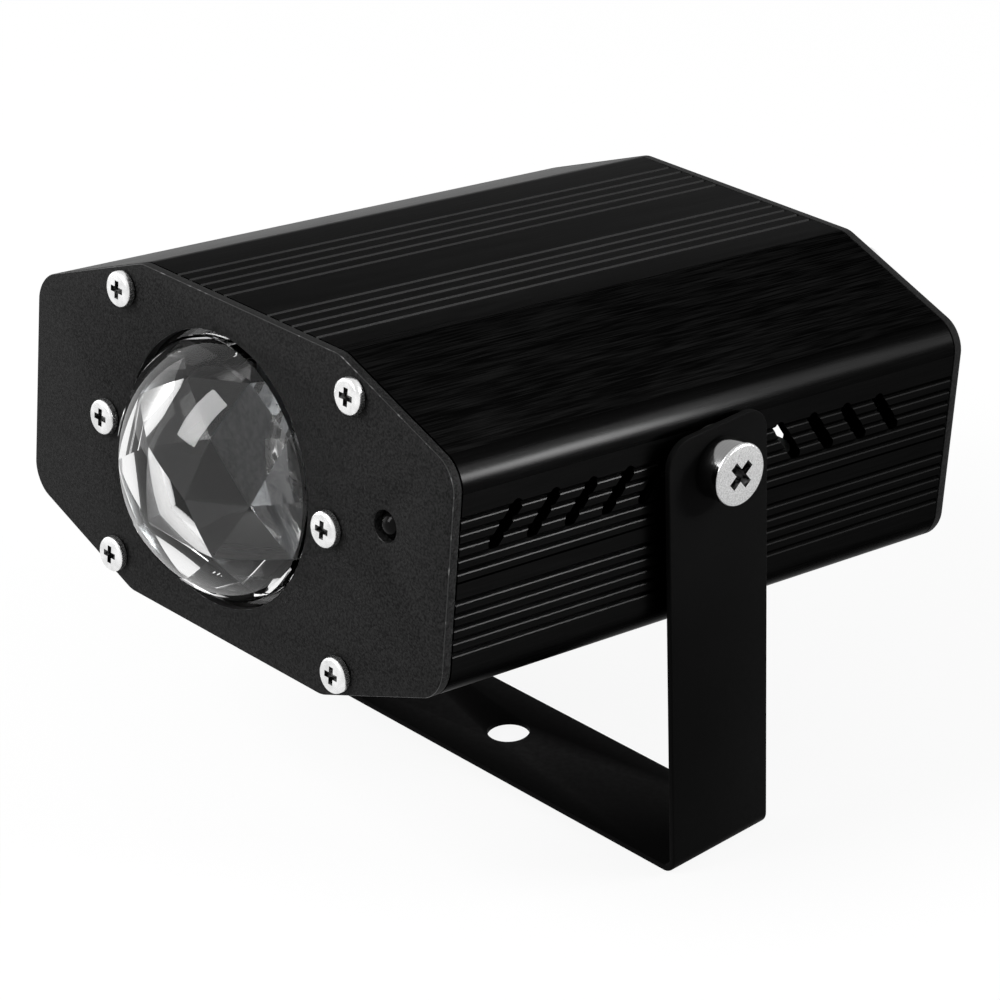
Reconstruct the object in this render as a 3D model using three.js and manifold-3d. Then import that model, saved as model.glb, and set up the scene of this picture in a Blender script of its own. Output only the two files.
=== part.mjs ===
// A small water wave effect light: a grooved aluminium housing on a U bracket, with a cut
// lens in front of a slowly turning rippled glass disc. Millimetres, +Z up, front facing -Y.
// The origin is on the underside of the bracket's base, midway between its arms.
import * as THREE from 'three';
import { mergeVertices } from 'three/addons/utils/BufferGeometryUtils.js';
import Module from 'manifold-3d';

const wasm = await Module();
wasm.setup();

// Clearances
const SEAT_GAP = 0.3;
const OVERRUN = 2;
const MERGE_TOLERANCE = 1e-4;

// Housing extrusion, in the housing's own frame with its origin at the middle
const HOUSING_WIDTH = 92;
const HOUSING_HEIGHT = 50.6;
const HOUSING_LENGTH = 98;
const TOP_FLAT_WIDTH = 43.6;
const CHAMFER_DROP = 9;
const SIDE_CORNER_RADIUS = 5;
const TOP_CORNER_RADIUS = 4;
const WALL = 2;
const SEAM_HEIGHT = 0.1;
const LIP_THICKNESS = 1.2;
const LIP_HEIGHT = 1.2;
const GROOVE_WIDTH = 0.7;
const GROOVE_DEPTH = 0.5;
const SIDE_GROOVE_PITCH = 1.9;
const UPPER_GROOVE_START = 1.6;
const LOWER_GROOVE_START = 2.8;
const SIDE_GROOVE_MARGIN = 1.9;
const TOP_GROOVE_START = 4.8;
const TOP_GROOVE_PITCH = 2.6;
const TOP_GROOVE_MARGIN = 4.5;
const PORT_RADIUS = 3.1;
const PORT_INSET = 3.19;
const PORT_ALONG_CHAMFER = 4.35;
const RAIL_DEPTH = 2;
const RAIL_THICKNESS = 1;

// Vent slots in the side walls, leaning towards the pivot from both ends; their height and
// length are shares of the side wall's half height
const SLOT_END_SPACE = 6;
const SLOT_START = 9.9;
const SLOT_PITCH = 7;
const SLOT_HEIGHT_SHARE = 0.4172;
const SLOT_LENGTH_SHARE = 0.4908;
const SLOT_WIDTH = 2;
const SLOT_LEAN = 39.5;

// End plates
const PLATE_THICKNESS = 1.5;
const IR_HOLE_RADIUS = 2.3;
const IR_PLACE_SHARE = 0.4445;
const IR_Z = 4.2;
const VENT_RADIUS = 1.9;
const VENT_PITCH_X = 6;
const VENT_PITCH_Z = 5.4;
const VENT_COLUMNS = 5;
const VENT_ROWS = 3;
const VENT_Z = -10.6;

// Small screws
const SCREW_HEAD_RADIUS = 2.65;
const SCREW_HEAD_HEIGHT = 1.2;
const SCREW_CROWN = 0.35;
const SCREW_SHANK_RADIUS = 1.3;
const SCREW_LENGTH = 8;
const RECESS_LENGTH = 3;
const RECESS_WIDTH = 0.75;
const RECESS_DEPTH = 0.8;

// Pivot hardware and bracket
const PIVOT_Y = -3;
const PIVOT_HEIGHT_SHARE = 0.4724;
const PIVOT_HEIGHT = 63.6;
const REST_TILT = 7.5;
const PIVOT_SHANK_RADIUS = 2;
const PIVOT_HEAD_RADIUS = 4.65;
const PIVOT_HEAD_LENGTH = 4;
const PIVOT_HEAD_EDGE = 0.4;
const PIVOT_RECESS_LENGTH = 5;
const PIVOT_RECESS_WIDTH = 1.1;
const PIVOT_RECESS_DEPTH = 1.8;
const WASHER_RADIUS = 5.5;
const WASHER_THICKNESS = 1.1;
const NUT_RADIUS = 4.2;
const NUT_THICKNESS = 3.2;
const BRACKET_THICKNESS = 1;
const BRACKET_WIDTH = 19.4;
const BRACKET_BEND_RADIUS = 1.3;
const BRACKET_TOP = 6.3;
const BRACKET_CORNER_RADIUS = 4;
const MOUNT_HOLE_RADIUS = 3.3;
const MOUNT_HOLE_X = 2.4;

// Front lens, its gasket and holder
const LENS_X = -3.3;
const LENS_HOLE_MARGIN = 5;
const LENS_CLEARANCE = 1;
const LENS_DOME_HEIGHT = 12;
const LENS_FLANGE_MARGIN = 0.9;
const LENS_FLANGE_THICKNESS = 2;
const LENS_WALL = 2.9;
const LENS_MIDDLE = 3.1;
const LENS_CUT_TURN = 23;
const GASKET_THICKNESS = 1;
const GASKET_WIDTH = 4.4;
const HOLDER_THICKNESS = 3;
const HOLDER_WIDTH = 5.9;
const HOLDER_MARGIN = 0.4;
const HOLDER_EAR_RADIUS = 4;
const HOLDER_BOSS_WALL = 0.8;

// Turning rippled disc and its geared motor
const DISC_X = 12.4;
const DISC_MARGIN = 3.3;
const DISC_THICKNESS = 1.8;
const DISC_BORE_RADIUS = 3.2;
const DISC_SPACE = 3.6;
const RIPPLE_RINGS = 4;
const RIPPLE_DEPTH = 0.35;
const HUB_RADIUS = 5.2;
const HUB_FLANGE_THICKNESS = 2;
const CLIP_RADIUS = 4.6;
const CLIP_THICKNESS = 1;
const SHAFT_RADIUS = 1.3;
const MOTOR_RADIUS = 12;
const MOTOR_LENGTH = 14;
const MOTOR_OFFSET = 6;
const MOTOR_EDGE = 0.8;
const MOTOR_NOSE_RADIUS = 4;
const MOTOR_NOSE_LENGTH = 2.2;
const MOTOR_SHAFT_DEPTH = 4;
const MOTOR_PLATE_THICKNESS = 1;
const MOTOR_SCREW_OFFSET = 15.5;
const MOTOR_SCREW_TURN = 40;
const MOTOR_EAR_RADIUS = 3.2;
const MOTOR_SCREW_LENGTH = 5;

// Optics frame, condenser, LED and heat sink
const FRAME_SPACE = 4.2;
const FRAME_THICKNESS = 1.5;
const FRAME_PORT_SPACE = 0.8;
const FRAME_WING_SPACE = 0.5;
const FRAME_WING_MARGIN = 1.6;
const BEAM_RADIUS = 7;
const PAD_THICKNESS = 1;
const PAD_MARGIN = 3.4;
const PAD_LENGTH = 30;
const TUBE_RADIUS = 9;
const TUBE_BORE_RADIUS = 7.2;
const TUBE_LENGTH = 18.4;
const TUBE_FLANGE_RADIUS = 10;
const TUBE_FLANGE_THICKNESS = 3.5;
const TUBE_EAR_RADIUS = 3;
const TUBE_SCREW_OFFSET = 11.6;
const GLASS_RADIUS = 7.6;
const GLASS_THICKNESS = 1.6;
const CONDENSER_EDGE = 1.5;
const CONDENSER_DOME = 3;
const CONDENSER_BACK = 5;
const LED_BOARD_RADIUS = 8.6;
const LED_BOARD_THICKNESS = 1.6;
const LED_BASE = 5;
const LED_BASE_THICKNESS = 0.9;
const LED_DOME_RADIUS = 1.9;
const SINK_WIDTH = 36;
const SINK_TOP_SPACE = 4.3;
const SINK_BASE = 3;
const SINK_DEPTH = 20;
const SINK_FIN_THICKNESS = 1.6;
const SINK_FINS = 8;

// Control board and the parts on it
const BOARD_RISE = 6.8;
const BOARD_THICKNESS = 1.6;
const BOARD_FRONT_SPACE = 5.3;
const BOARD_BACK_SPACE = 3;
const CAPACITOR_RADIUS = 4;
const CAPACITOR_HEIGHT = 9.5;
const COIL_RADIUS = 4.6;
const COIL_BORE_RADIUS = 1.8;
const COIL_HEIGHT = 4.5;
const CHIP_SIZE = 9;
const CHIP_THICKNESS = 1.4;
const PLUG_WIDTH = 12;
const PLUG_DEPTH = 6;
const PLUG_HEIGHT = 7;

// Infrared receiver behind the small window
const IR_PAD_THICKNESS = 1.2;
const IR_BOARD_WIDTH = 10;
const IR_BOARD_HEIGHT = 13;
const IR_RIM_RADIUS = 2.9;

// Power inlet and mode button in the rear plate
const CONTROL_INSET = 16;
const CONTROL_Z = 4;
const INLET_BARREL_RADIUS = 4.6;
const INLET_FLANGE_RADIUS = 6.2;
const INLET_FLANGE_THICKNESS = 1.4;
const INLET_DEPTH = 13;
const INLET_BORE_RADIUS = 3.1;
const INLET_BORE_DEPTH = 9.5;
const INLET_PIN_RADIUS = 1;
const INLET_PIN_LENGTH = 8;
const INLET_NUT_RADIUS = 6.6;
const INLET_NUT_THICKNESS = 2.4;
const SWITCH_BARREL_RADIUS = 4.2;
const SWITCH_FLANGE_RADIUS = 5.6;
const SWITCH_FLANGE_THICKNESS = 1.2;
const SWITCH_DEPTH = 10;
const SWITCH_BORE_RADIUS = 3.3;
const SWITCH_BORE_DEPTH = 5;
const SWITCH_NUT_RADIUS = 6;
const BUTTON_RADIUS = 3;
const BUTTON_TRAVEL = 1.5;
const BUTTON_STAND = 2.2;

// Facets of round pieces
const FINE = 36;
const MEDIUM = 24;
const COARSE = 12;
const SMALL = 8;
const ARC_STEPS = 5;
const SLOT_STEPS = 3;
const DOME_STEPS = 8;

// Places that follow from the sizes
const HALF_WIDTH = HOUSING_WIDTH / 2;
const HALF_HEIGHT = HOUSING_HEIGHT / 2;
const HALF_LENGTH = HOUSING_LENGTH / 2;
const INNER_WIDTH = HALF_WIDTH - WALL;
const INNER_HEIGHT = HALF_HEIGHT - WALL;
const CHAMFER_RUN = HALF_WIDTH - TOP_FLAT_WIDTH / 2;
const CHAMFER_ANGLE = Math.atan2(CHAMFER_DROP, CHAMFER_RUN);
const SIDE_HALF_HEIGHT = HALF_HEIGHT - CHAMFER_DROP;
const SIDE_FLAT_END = SIDE_HALF_HEIGHT - SIDE_CORNER_RADIUS * Math.tan(Math.PI / 4 - CHAMFER_ANGLE / 2);
const TOP_FLAT_END = TOP_FLAT_WIDTH / 2 - TOP_CORNER_RADIUS * Math.tan(CHAMFER_ANGLE / 2);
const PORT_ROOT = octagonCorners(PORT_INSET).top;
const PORT_X = PORT_ROOT.x + PORT_ALONG_CHAMFER * Math.cos(CHAMFER_ANGLE);
const PORT_Z = PORT_ROOT.y - PORT_ALONG_CHAMFER * Math.sin(CHAMFER_ANGLE);
const SLOT_HEIGHT = SLOT_HEIGHT_SHARE * SIDE_HALF_HEIGHT;
const SLOT_LENGTH = SLOT_LENGTH_SHARE * SIDE_HALF_HEIGHT;
const PIVOT_Z = PIVOT_HEIGHT_SHARE * SIDE_HALF_HEIGHT;
const PLATE_INSIDE = HALF_LENGTH + SEAT_GAP;
const PLATE_OUTSIDE = PLATE_INSIDE + PLATE_THICKNESS;
const SCREW_HOLE_RADIUS = SCREW_SHANK_RADIUS + SEAT_GAP;
const PIVOT_HOLE_RADIUS = PIVOT_SHANK_RADIUS + SEAT_GAP;
const ARM_INSIDE = HALF_WIDTH + WASHER_THICKNESS + 2 * SEAT_GAP;
const ARM_OUTSIDE = ARM_INSIDE + BRACKET_THICKNESS;
const LENS_HOLE_RADIUS = HALF_HEIGHT - LENS_HOLE_MARGIN;
const LENS_SKIRT_RADIUS = LENS_HOLE_RADIUS - LENS_CLEARANCE;
const LENS_FLANGE_RADIUS = INNER_HEIGHT - LENS_FLANGE_MARGIN;
const LENS_CUT_RADIUS = LENS_SKIRT_RADIUS - LENS_WALL;
const LENS_TIP = -PLATE_OUTSIDE - LENS_DOME_HEIGHT;
const GASKET_BORE_RADIUS = LENS_FLANGE_RADIUS - GASKET_WIDTH;
const HOLDER_RADIUS = INNER_HEIGHT - HOLDER_MARGIN;
const HOLDER_BORE_RADIUS = HOLDER_RADIUS - HOLDER_WIDTH;
const HOLDER_BOSS_RADIUS = SCREW_HOLE_RADIUS + HOLDER_BOSS_WALL;
const LENS_SCREW_OFFSET = LENS_FLANGE_RADIUS + SEAT_GAP + HOLDER_BOSS_RADIUS;
const BOSS_EDGE = LENS_X + LENS_SCREW_OFFSET + HOLDER_BOSS_RADIUS;
const IR_X = BOSS_EDGE + IR_PLACE_SHARE * (INNER_WIDTH - BOSS_EDGE);
const INLET_X = CONTROL_INSET - HALF_WIDTH;
const BUTTON_X = HALF_WIDTH - CONTROL_INSET;
const FLANGE_FRONT = -HALF_LENGTH;
const FLANGE_BACK = FLANGE_FRONT + LENS_FLANGE_THICKNESS;
const GASKET_FRONT = FLANGE_BACK + SEAT_GAP;
const HOLDER_FRONT = GASKET_FRONT + GASKET_THICKNESS + SEAT_GAP;
const HOLDER_BACK = HOLDER_FRONT + HOLDER_THICKNESS;
const DISC_FRONT = HOLDER_BACK + DISC_SPACE;
const DISC_BACK = DISC_FRONT + DISC_THICKNESS;
const DISC_RADIUS = INNER_HEIGHT - DISC_MARGIN;
const FRAME_FRONT = DISC_BACK + FRAME_SPACE;
const FRAME_BACK = FRAME_FRONT + FRAME_THICKNESS;
const MOTOR_FRONT = FRAME_BACK + SEAT_GAP;
const MOTOR_X = DISC_X + MOTOR_OFFSET;
const FRAME_HALF_WIDTH = PORT_X - PORT_RADIUS - FRAME_PORT_SPACE;
const FRAME_WING_HEIGHT = PORT_Z - PORT_RADIUS - FRAME_WING_SPACE;
const FRAME_WING = MOTOR_X + MOTOR_RADIUS + FRAME_WING_MARGIN;
const PAD_HALF_WIDTH = FRAME_HALF_WIDTH - PAD_MARGIN;
const TUBE_FRONT = FRAME_BACK + SEAT_GAP;
const TUBE_BACK = TUBE_FRONT + TUBE_LENGTH;
const SINK_FRONT = TUBE_BACK + SEAT_GAP;
const SINK_BACK = SINK_FRONT + SINK_DEPTH;
const SINK_TOP = INNER_HEIGHT - SINK_TOP_SPACE;
const PAD_BOTTOM = SEAT_GAP - INNER_HEIGHT;
const FRAME_BOTTOM = PAD_BOTTOM + PAD_THICKNESS + SEAT_GAP;
const FRAME_FLOOR = FRAME_BOTTOM + FRAME_THICKNESS;
const BOARD_BACK = HALF_LENGTH - BOARD_BACK_SPACE;
const BOARD_LENGTH = BOARD_BACK - SINK_BACK - BOARD_FRONT_SPACE;
const BOARD_TOP = BOARD_RISE - SIDE_HALF_HEIGHT;
const BOARD_BOTTOM = BOARD_TOP - BOARD_THICKNESS;

// Finishes: colour, roughness and metalness
const FINISHES = {
  blackAnodised: [0x121314, 0.42, 0.85],
  blackPaint: [0x26282a, 0.6, 0.1],
  bracketPaint: [0x101112, 0.5, 0.1],
  brightZinc: [0xd9dbdd, 0.25, 1],
  darkSteel: [0x3a3c40, 0.4, 0.9],
  bareAluminium: [0xb4b7ba, 0.4, 0.9],
  clearGlass: [0xd4dcdf, 0.05, 0],
  blackPlastic: [0x18191a, 0.5, 0],
  blackRubber: [0x141414, 0.85, 0],
  greyPad: [0x8d9094, 0.9, 0],
  greenBoard: [0x1d4a2c, 0.5, 0],
  brassPart: [0xb08d45, 0.35, 0.9],
  copperWinding: [0x9c5a2e, 0.4, 0.8],
};

function finish(name) {
  const [color, roughness, metalness] = FINISHES[name];
  return new THREE.MeshStandardMaterial({ color, roughness, metalness });
}

// A closed geometry as a solid for cutting and joining.
function toSolid(geometry) {
  const bare = geometry.clone();
  bare.deleteAttribute('normal');
  bare.deleteAttribute('uv');
  const merged = mergeVertices(bare, MERGE_TOLERANCE);
  const index = merged.index.array;
  const kept = [];
  for (let i = 0; i < index.length; i += 3) {
    const [a, b, c] = index.slice(i, i + 3);
    if (a !== b && b !== c && c !== a) kept.push(a, b, c);
  }
  const vertProperties = merged.attributes.position.array;
  return new wasm.Manifold(new wasm.Mesh({ numProp: 3, vertProperties, triVerts: new Uint32Array(kept) }));
}

function toGeometry(solid) {
  const mesh = solid.getMesh();
  const geometry = new THREE.BufferGeometry();
  geometry.setAttribute('position', new THREE.BufferAttribute(mesh.vertProperties, 3));
  geometry.setIndex(new THREE.BufferAttribute(mesh.triVerts, 1));
  geometry.computeVertexNormals();
  return geometry;
}

function joined(geometries) {
  return toGeometry(geometries.map(toSolid).reduce((whole, piece) => whole.add(piece)));
}

function cut(geometry, tools) {
  return toGeometry(tools.map(toSolid).reduce((whole, tool) => whole.subtract(tool), toSolid(geometry)));
}

// A prism of an outline in X and Z, running along Y.
function alongY(shape, from, to, curveSegments = ARC_STEPS) {
  const geometry = new THREE.ExtrudeGeometry(shape, { depth: to - from, bevelEnabled: false, curveSegments });
  return geometry.rotateX(Math.PI / 2).translate(0, to, 0);
}

// A prism of an outline in Y and Z, running along X.
function alongX(shape, from, to, curveSegments = ARC_STEPS) {
  const geometry = new THREE.ExtrudeGeometry(shape, { depth: to - from, bevelEnabled: false, curveSegments });
  return geometry.rotateX(Math.PI / 2).rotateZ(Math.PI / 2).translate(from, 0, 0);
}

function box(x, y, z) {
  const geometry = new THREE.BoxGeometry(x[1] - x[0], y[1] - y[0], z[1] - z[0]);
  return geometry.translate((x[0] + x[1]) / 2, (y[0] + y[1]) / 2, (z[0] + z[1]) / 2);
}

function rodY(radius, from, to, x, z, sides = COARSE) {
  return new THREE.CylinderGeometry(radius, radius, to - from, sides).translate(x, (from + to) / 2, z);
}

function rodX(radius, from, to, y, z, sides = COARSE) {
  const geometry = new THREE.CylinderGeometry(radius, radius, to - from, sides).rotateZ(Math.PI / 2);
  return geometry.translate((from + to) / 2, y, z);
}

function rodZ(radius, from, to, x, y, sides = COARSE) {
  const geometry = new THREE.CylinderGeometry(radius, radius, to - from, sides).rotateX(Math.PI / 2);
  return geometry.translate(x, y, (from + to) / 2);
}

// A piece turned about the Y direction from pairs of radius and Y, in either order.
function turned(profile, x, z, sides = MEDIUM) {
  const points = profile.map(([radius, y]) => new THREE.Vector2(radius, y));
  if (THREE.ShapeUtils.area(points) < 0) points.reverse();
  return new THREE.LatheGeometry(points, sides).translate(x, 0, z);
}

// Profile points of a dome that bulges to -Y, from its rim to its tip; a full half ball
// unless a flatter height is given.
function roundNose(radius, tip, height = radius, steps = ARC_STEPS) {
  const sphere = (radius ** 2 + height ** 2) / (2 * height);
  const widest = Math.asin(Math.min(1, radius / sphere));
  return Array.from({ length: steps + 1 }, (_, i) => {
    const angle = widest * (1 - i / steps);
    return [i < steps ? sphere * Math.sin(angle) : 0, tip + sphere * (1 - Math.cos(angle))];
  });
}

function ringY(outer, bore, from, to, x, z, sides = MEDIUM) {
  const profile = [[bore, from], [outer, from], [outer, to], [bore, to], [bore, from]];
  return turned(profile, x, z, sides);
}

function hexNut(radius, bore, from, to, x, z) {
  return cut(rodY(radius, from, to, x, z, 6), [rodY(bore, from - OVERRUN, to + OVERRUN, x, z)]);
}

// Points of a round corner between two straight edges.
function roundCorner(before, corner, after, radius, steps = ARC_STEPS) {
  const toBefore = before.clone().sub(corner).normalize();
  const toAfter = after.clone().sub(corner).normalize();
  const half = Math.acos(toBefore.dot(toAfter)) / 2;
  const reach = radius / Math.tan(half);
  const inwards = toBefore.clone().add(toAfter).normalize();
  const centre = inwards.multiplyScalar(radius / Math.sin(half)).add(corner);
  const start = corner.clone().addScaledVector(toBefore, reach).sub(centre);
  const side = Math.sign(toBefore.cross(toAfter));
  const sweep = (Math.PI - 2 * half) * side;
  const points = [];
  for (let i = 0; i <= steps; i++) {
    points.push(start.clone().rotateAround(new THREE.Vector2(), -sweep * i / steps).add(centre));
  }
  return points;
}

function at(x, z) {
  return new THREE.Vector2(x, z);
}

// Corners of the housing's octagon on its right upper side, moved inwards by a distance.
function octagonCorners(inset) {
  const slope = Math.hypot(CHAMFER_RUN, CHAMFER_DROP);
  const chamferNormal = at(-CHAMFER_DROP / slope, -CHAMFER_RUN / slope);
  const mitre = (corner, normal) => {
    const sum = normal.clone().add(chamferNormal);
    return corner.clone().addScaledVector(sum, inset / (1 + normal.dot(chamferNormal)));
  };
  const side = mitre(at(HALF_WIDTH, HALF_HEIGHT - CHAMFER_DROP), at(-1, 0));
  const top = mitre(at(HALF_WIDTH - CHAMFER_RUN, HALF_HEIGHT), at(0, -1));
  return { side, top };
}

// The round corners from the side wall to the middle of the top, at an inset.
function shoulder(inset) {
  const { side, top } = octagonCorners(inset);
  const low = at(side.x, 0);
  const middle = at(0, top.y);
  return [
    ...roundCorner(low, side, top, SIDE_CORNER_RADIUS - inset),
    ...roundCorner(side, top, middle, TOP_CORNER_RADIUS - inset),
  ];
}

// V grooves in a straight wall: the side wall runs up and the top runs inwards.
function sideGrooves(centres) {
  const half = GROOVE_WIDTH / 2;
  return centres.flatMap((z) => [
    at(HALF_WIDTH, z - half), at(HALF_WIDTH - GROOVE_DEPTH, z), at(HALF_WIDTH, z + half),
  ]);
}

function topGrooves() {
  const half = GROOVE_WIDTH / 2;
  const places = placesUpTo(TOP_FLAT_END - TOP_GROOVE_MARGIN, TOP_GROOVE_START, TOP_GROOVE_PITCH);
  return places.reverse().flatMap((x) => [
    at(x + half, HALF_HEIGHT), at(x, HALF_HEIGHT - GROOVE_DEPTH), at(x - half, HALF_HEIGHT),
  ]);
}

// Square rails that stand inwards from the side wall's inside.
function rails(centres) {
  const half = RAIL_THICKNESS / 2;
  const edge = INNER_WIDTH - RAIL_DEPTH;
  return centres.flatMap((z) => [
    at(INNER_WIDTH, z - half), at(edge, z - half), at(edge, z + half), at(INNER_WIDTH, z + half),
  ]);
}

const mirrored = (points) => points.map((p) => at(-p.x, p.y)).reverse();

function count(number, start, pitch) {
  return Array.from({ length: number }, (_, i) => start + pitch * i);
}

// As many places as fit between a start and an end.
function placesUpTo(end, start, pitch) {
  return count(Math.floor((end - start) / pitch) + 1, start, pitch);
}

// Half outline of a shell from its seam to the middle of its top; the lower shell is made
// the same way up and then turned over.
function shellHalf(seam, grooveStart) {
  const grooves = placesUpTo(SIDE_FLAT_END - SIDE_GROOVE_MARGIN, grooveStart, SIDE_GROOVE_PITCH);
  return [at(HALF_WIDTH, seam), ...sideGrooves(grooves), ...shoulder(0), ...topGrooves()];
}

function screwPorts() {
  return [-1, 1].map((side) => rodY(PORT_RADIUS, -HALF_LENGTH, HALF_LENGTH, side * PORT_X, PORT_Z));
}

function portHoles() {
  const [from, to] = [-HALF_LENGTH - OVERRUN, HALF_LENGTH + OVERRUN];
  return [-1, 1].map((side) => rodY(SCREW_HOLE_RADIUS, from, to, side * PORT_X, PORT_Z));
}

function shell(outer, inner) {
  const whole = [...outer, ...mirrored(outer), ...mirrored(inner).reverse(), ...[...inner].reverse()];
  const walls = alongY(new THREE.Shape(whole), -HALF_LENGTH, HALF_LENGTH);
  return cut(joined([walls, ...screwPorts()]), portHoles());
}

// A slot with round ends, leaning by an angle from upright.
function leaningSlot(y, lean) {
  const reach = (SLOT_LENGTH - SLOT_WIDTH) / 2;
  const radius = SLOT_WIDTH / 2;
  const slot = new THREE.Shape();
  slot.absarc(0, reach, radius, 0, Math.PI, false);
  slot.absarc(0, -reach, radius, Math.PI, 2 * Math.PI, false);
  const middle = at(y, SLOT_HEIGHT);
  const points = slot.getPoints(SLOT_STEPS).map((p) => p.rotateAround(at(0, 0), -lean).add(middle));
  return new THREE.Shape(points.slice(0, -1));
}

function ventSlots() {
  const lean = THREE.MathUtils.degToRad(SLOT_LEAN);
  const last = HALF_LENGTH - SLOT_END_SPACE - Math.abs(PIVOT_Y);
  const tools = [];
  for (const offset of placesUpTo(last, SLOT_START, SLOT_PITCH)) {
    for (const end of [-1, 1]) {
      const slot = leaningSlot(PIVOT_Y + end * offset, -end * lean);
      tools.push(alongX(slot, INNER_WIDTH - OVERRUN, HALF_WIDTH + OVERRUN));
      tools.push(alongX(slot, -HALF_WIDTH - OVERRUN, OVERRUN - INNER_WIDTH));
    }
  }
  return tools;
}

function topShell() {
  const seam = SEAM_HEIGHT + SEAT_GAP / 2;
  const inner = [at(INNER_WIDTH, seam), ...shoulder(WALL)];
  const walls = shell(shellHalf(seam, UPPER_GROOVE_START), inner);
  const pivots = [-1, 1].map((side) => {
    const [low, high] = [INNER_WIDTH - OVERRUN, HALF_WIDTH + OVERRUN];
    return rodX(PIVOT_HOLE_RADIUS, side > 0 ? low : -high, side > 0 ? high : -low, PIVOT_Y, PIVOT_Z);
  });
  return cut(walls, [...ventSlots(), ...pivots]);
}

// The lower shell, with a lip inside the seam that ends below the pivot nuts.
function bottomShell() {
  const seam = SEAT_GAP / 2 - SEAM_HEIGHT;
  const lipOutside = INNER_WIDTH - SEAT_GAP;
  const lipInside = lipOutside - LIP_THICKNESS;
  const railLow = -BOARD_TOP - SEAT_GAP - RAIL_THICKNESS / 2;
  const railHigh = -BOARD_BOTTOM + SEAT_GAP + RAIL_THICKNESS / 2;
  const inner = [
    at(lipOutside, seam),
    at(lipOutside, seam - LIP_HEIGHT),
    at(lipInside, seam - LIP_HEIGHT),
    at(lipInside, seam + LIP_HEIGHT),
    at(INNER_WIDTH, seam + LIP_HEIGHT + INNER_WIDTH - lipInside),
    ...rails([railLow, railHigh]),
    ...shoulder(WALL),
  ];
  return shell(shellHalf(seam, LOWER_GROOVE_START), inner).rotateY(Math.PI);
}

// The outline of an end plate: the whole octagon.
function plateShape() {
  const quarter = shoulder(0);
  const upper = [...quarter, ...mirrored(quarter)];
  const lower = upper.map((p) => at(-p.x, -p.y));
  return new THREE.Shape([...upper, ...lower]);
}

function portPlaces() {
  return [[-PORT_X, PORT_Z], [PORT_X, PORT_Z], [-PORT_X, -PORT_Z], [PORT_X, -PORT_Z]];
}

function lensScrewPlaces() {
  return [[LENS_X - LENS_SCREW_OFFSET, 0], [LENS_X + LENS_SCREW_OFFSET, 0]];
}

function frontPlate() {
  const [from, to] = [-PLATE_OUTSIDE - OVERRUN, OVERRUN - PLATE_INSIDE];
  const places = [...portPlaces(), ...lensScrewPlaces()];
  const holes = places.map(([x, z]) => rodY(SCREW_HOLE_RADIUS, from, to, x, z));
  holes.push(rodY(LENS_HOLE_RADIUS, from, to, LENS_X, 0, FINE));
  holes.push(rodY(IR_HOLE_RADIUS, from, to, IR_X, IR_Z));
  return cut(alongY(plateShape(), -PLATE_OUTSIDE, -PLATE_INSIDE), holes);
}

function rearPlate() {
  const [from, to] = [PLATE_INSIDE - OVERRUN, PLATE_OUTSIDE + OVERRUN];
  const holes = portPlaces().map(([x, z]) => rodY(SCREW_HOLE_RADIUS, from, to, x, z));
  holes.push(rodY(INLET_BARREL_RADIUS + SEAT_GAP, from, to, INLET_X, CONTROL_Z));
  holes.push(rodY(SWITCH_BARREL_RADIUS + SEAT_GAP, from, to, BUTTON_X, CONTROL_Z));
  for (const x of count(VENT_COLUMNS, -VENT_PITCH_X * (VENT_COLUMNS - 1) / 2, VENT_PITCH_X)) {
    for (const z of count(VENT_ROWS, VENT_Z - VENT_PITCH_Z * (VENT_ROWS - 1) / 2, VENT_PITCH_Z)) {
      holes.push(rodY(VENT_RADIUS, from, to, x, z, SMALL));
    }
  }
  return cut(alongY(plateShape(), PLATE_INSIDE, PLATE_OUTSIDE), holes);
}

// A pan head screw standing along +Y with the underside of its head at zero, head to -Y.
function screw(length) {
  const rim = -(SCREW_HEAD_HEIGHT - SCREW_CROWN);
  const body = turned([
    [0, -SCREW_HEAD_HEIGHT], [SCREW_HEAD_RADIUS / 2, -SCREW_HEAD_HEIGHT], [SCREW_HEAD_RADIUS, rim],
    [SCREW_HEAD_RADIUS, 0], [SCREW_SHANK_RADIUS, 0], [SCREW_SHANK_RADIUS, length], [0, length],
  ], 0, 0, SMALL);
  const [long, narrow] = [RECESS_LENGTH / 2, RECESS_WIDTH / 2];
  const deep = [-SCREW_HEAD_HEIGHT - OVERRUN, RECESS_DEPTH - SCREW_HEAD_HEIGHT];
  const level = box([-long, long], deep, [-narrow, narrow]);
  const upright = box([-narrow, narrow], deep, [-long, long]);
  return cut(body, [level, upright]);
}

// The pivot screw along +X from the underside of its long head.
function pivotScrew() {
  const length = ARM_OUTSIDE + SEAT_GAP - (INNER_WIDTH - NUT_THICKNESS - OVERRUN);
  const head = -PIVOT_HEAD_LENGTH;
  const body = turned([
    [0, head], [PIVOT_HEAD_RADIUS - PIVOT_HEAD_EDGE, head], [PIVOT_HEAD_RADIUS, head + PIVOT_HEAD_EDGE],
    [PIVOT_HEAD_RADIUS, 0], [PIVOT_SHANK_RADIUS, 0], [PIVOT_SHANK_RADIUS, length], [0, length],
  ], 0, 0, MEDIUM);
  const [long, narrow] = [PIVOT_RECESS_LENGTH / 2, PIVOT_RECESS_WIDTH / 2];
  const deep = [head - OVERRUN, head + PIVOT_RECESS_DEPTH];
  const tools = [box([-long, long], deep, [-narrow, narrow]), box([-narrow, narrow], deep, [-long, long])];
  return cut(body, tools).rotateY(Math.PI / 4);
}

function pivotWasher() {
  return ringY(WASHER_RADIUS, PIVOT_HOLE_RADIUS, 0, WASHER_THICKNESS, 0, 0);
}

function pivotNut() {
  return hexNut(NUT_RADIUS, PIVOT_HOLE_RADIUS, 0, NUT_THICKNESS, 0, 0);
}

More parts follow.
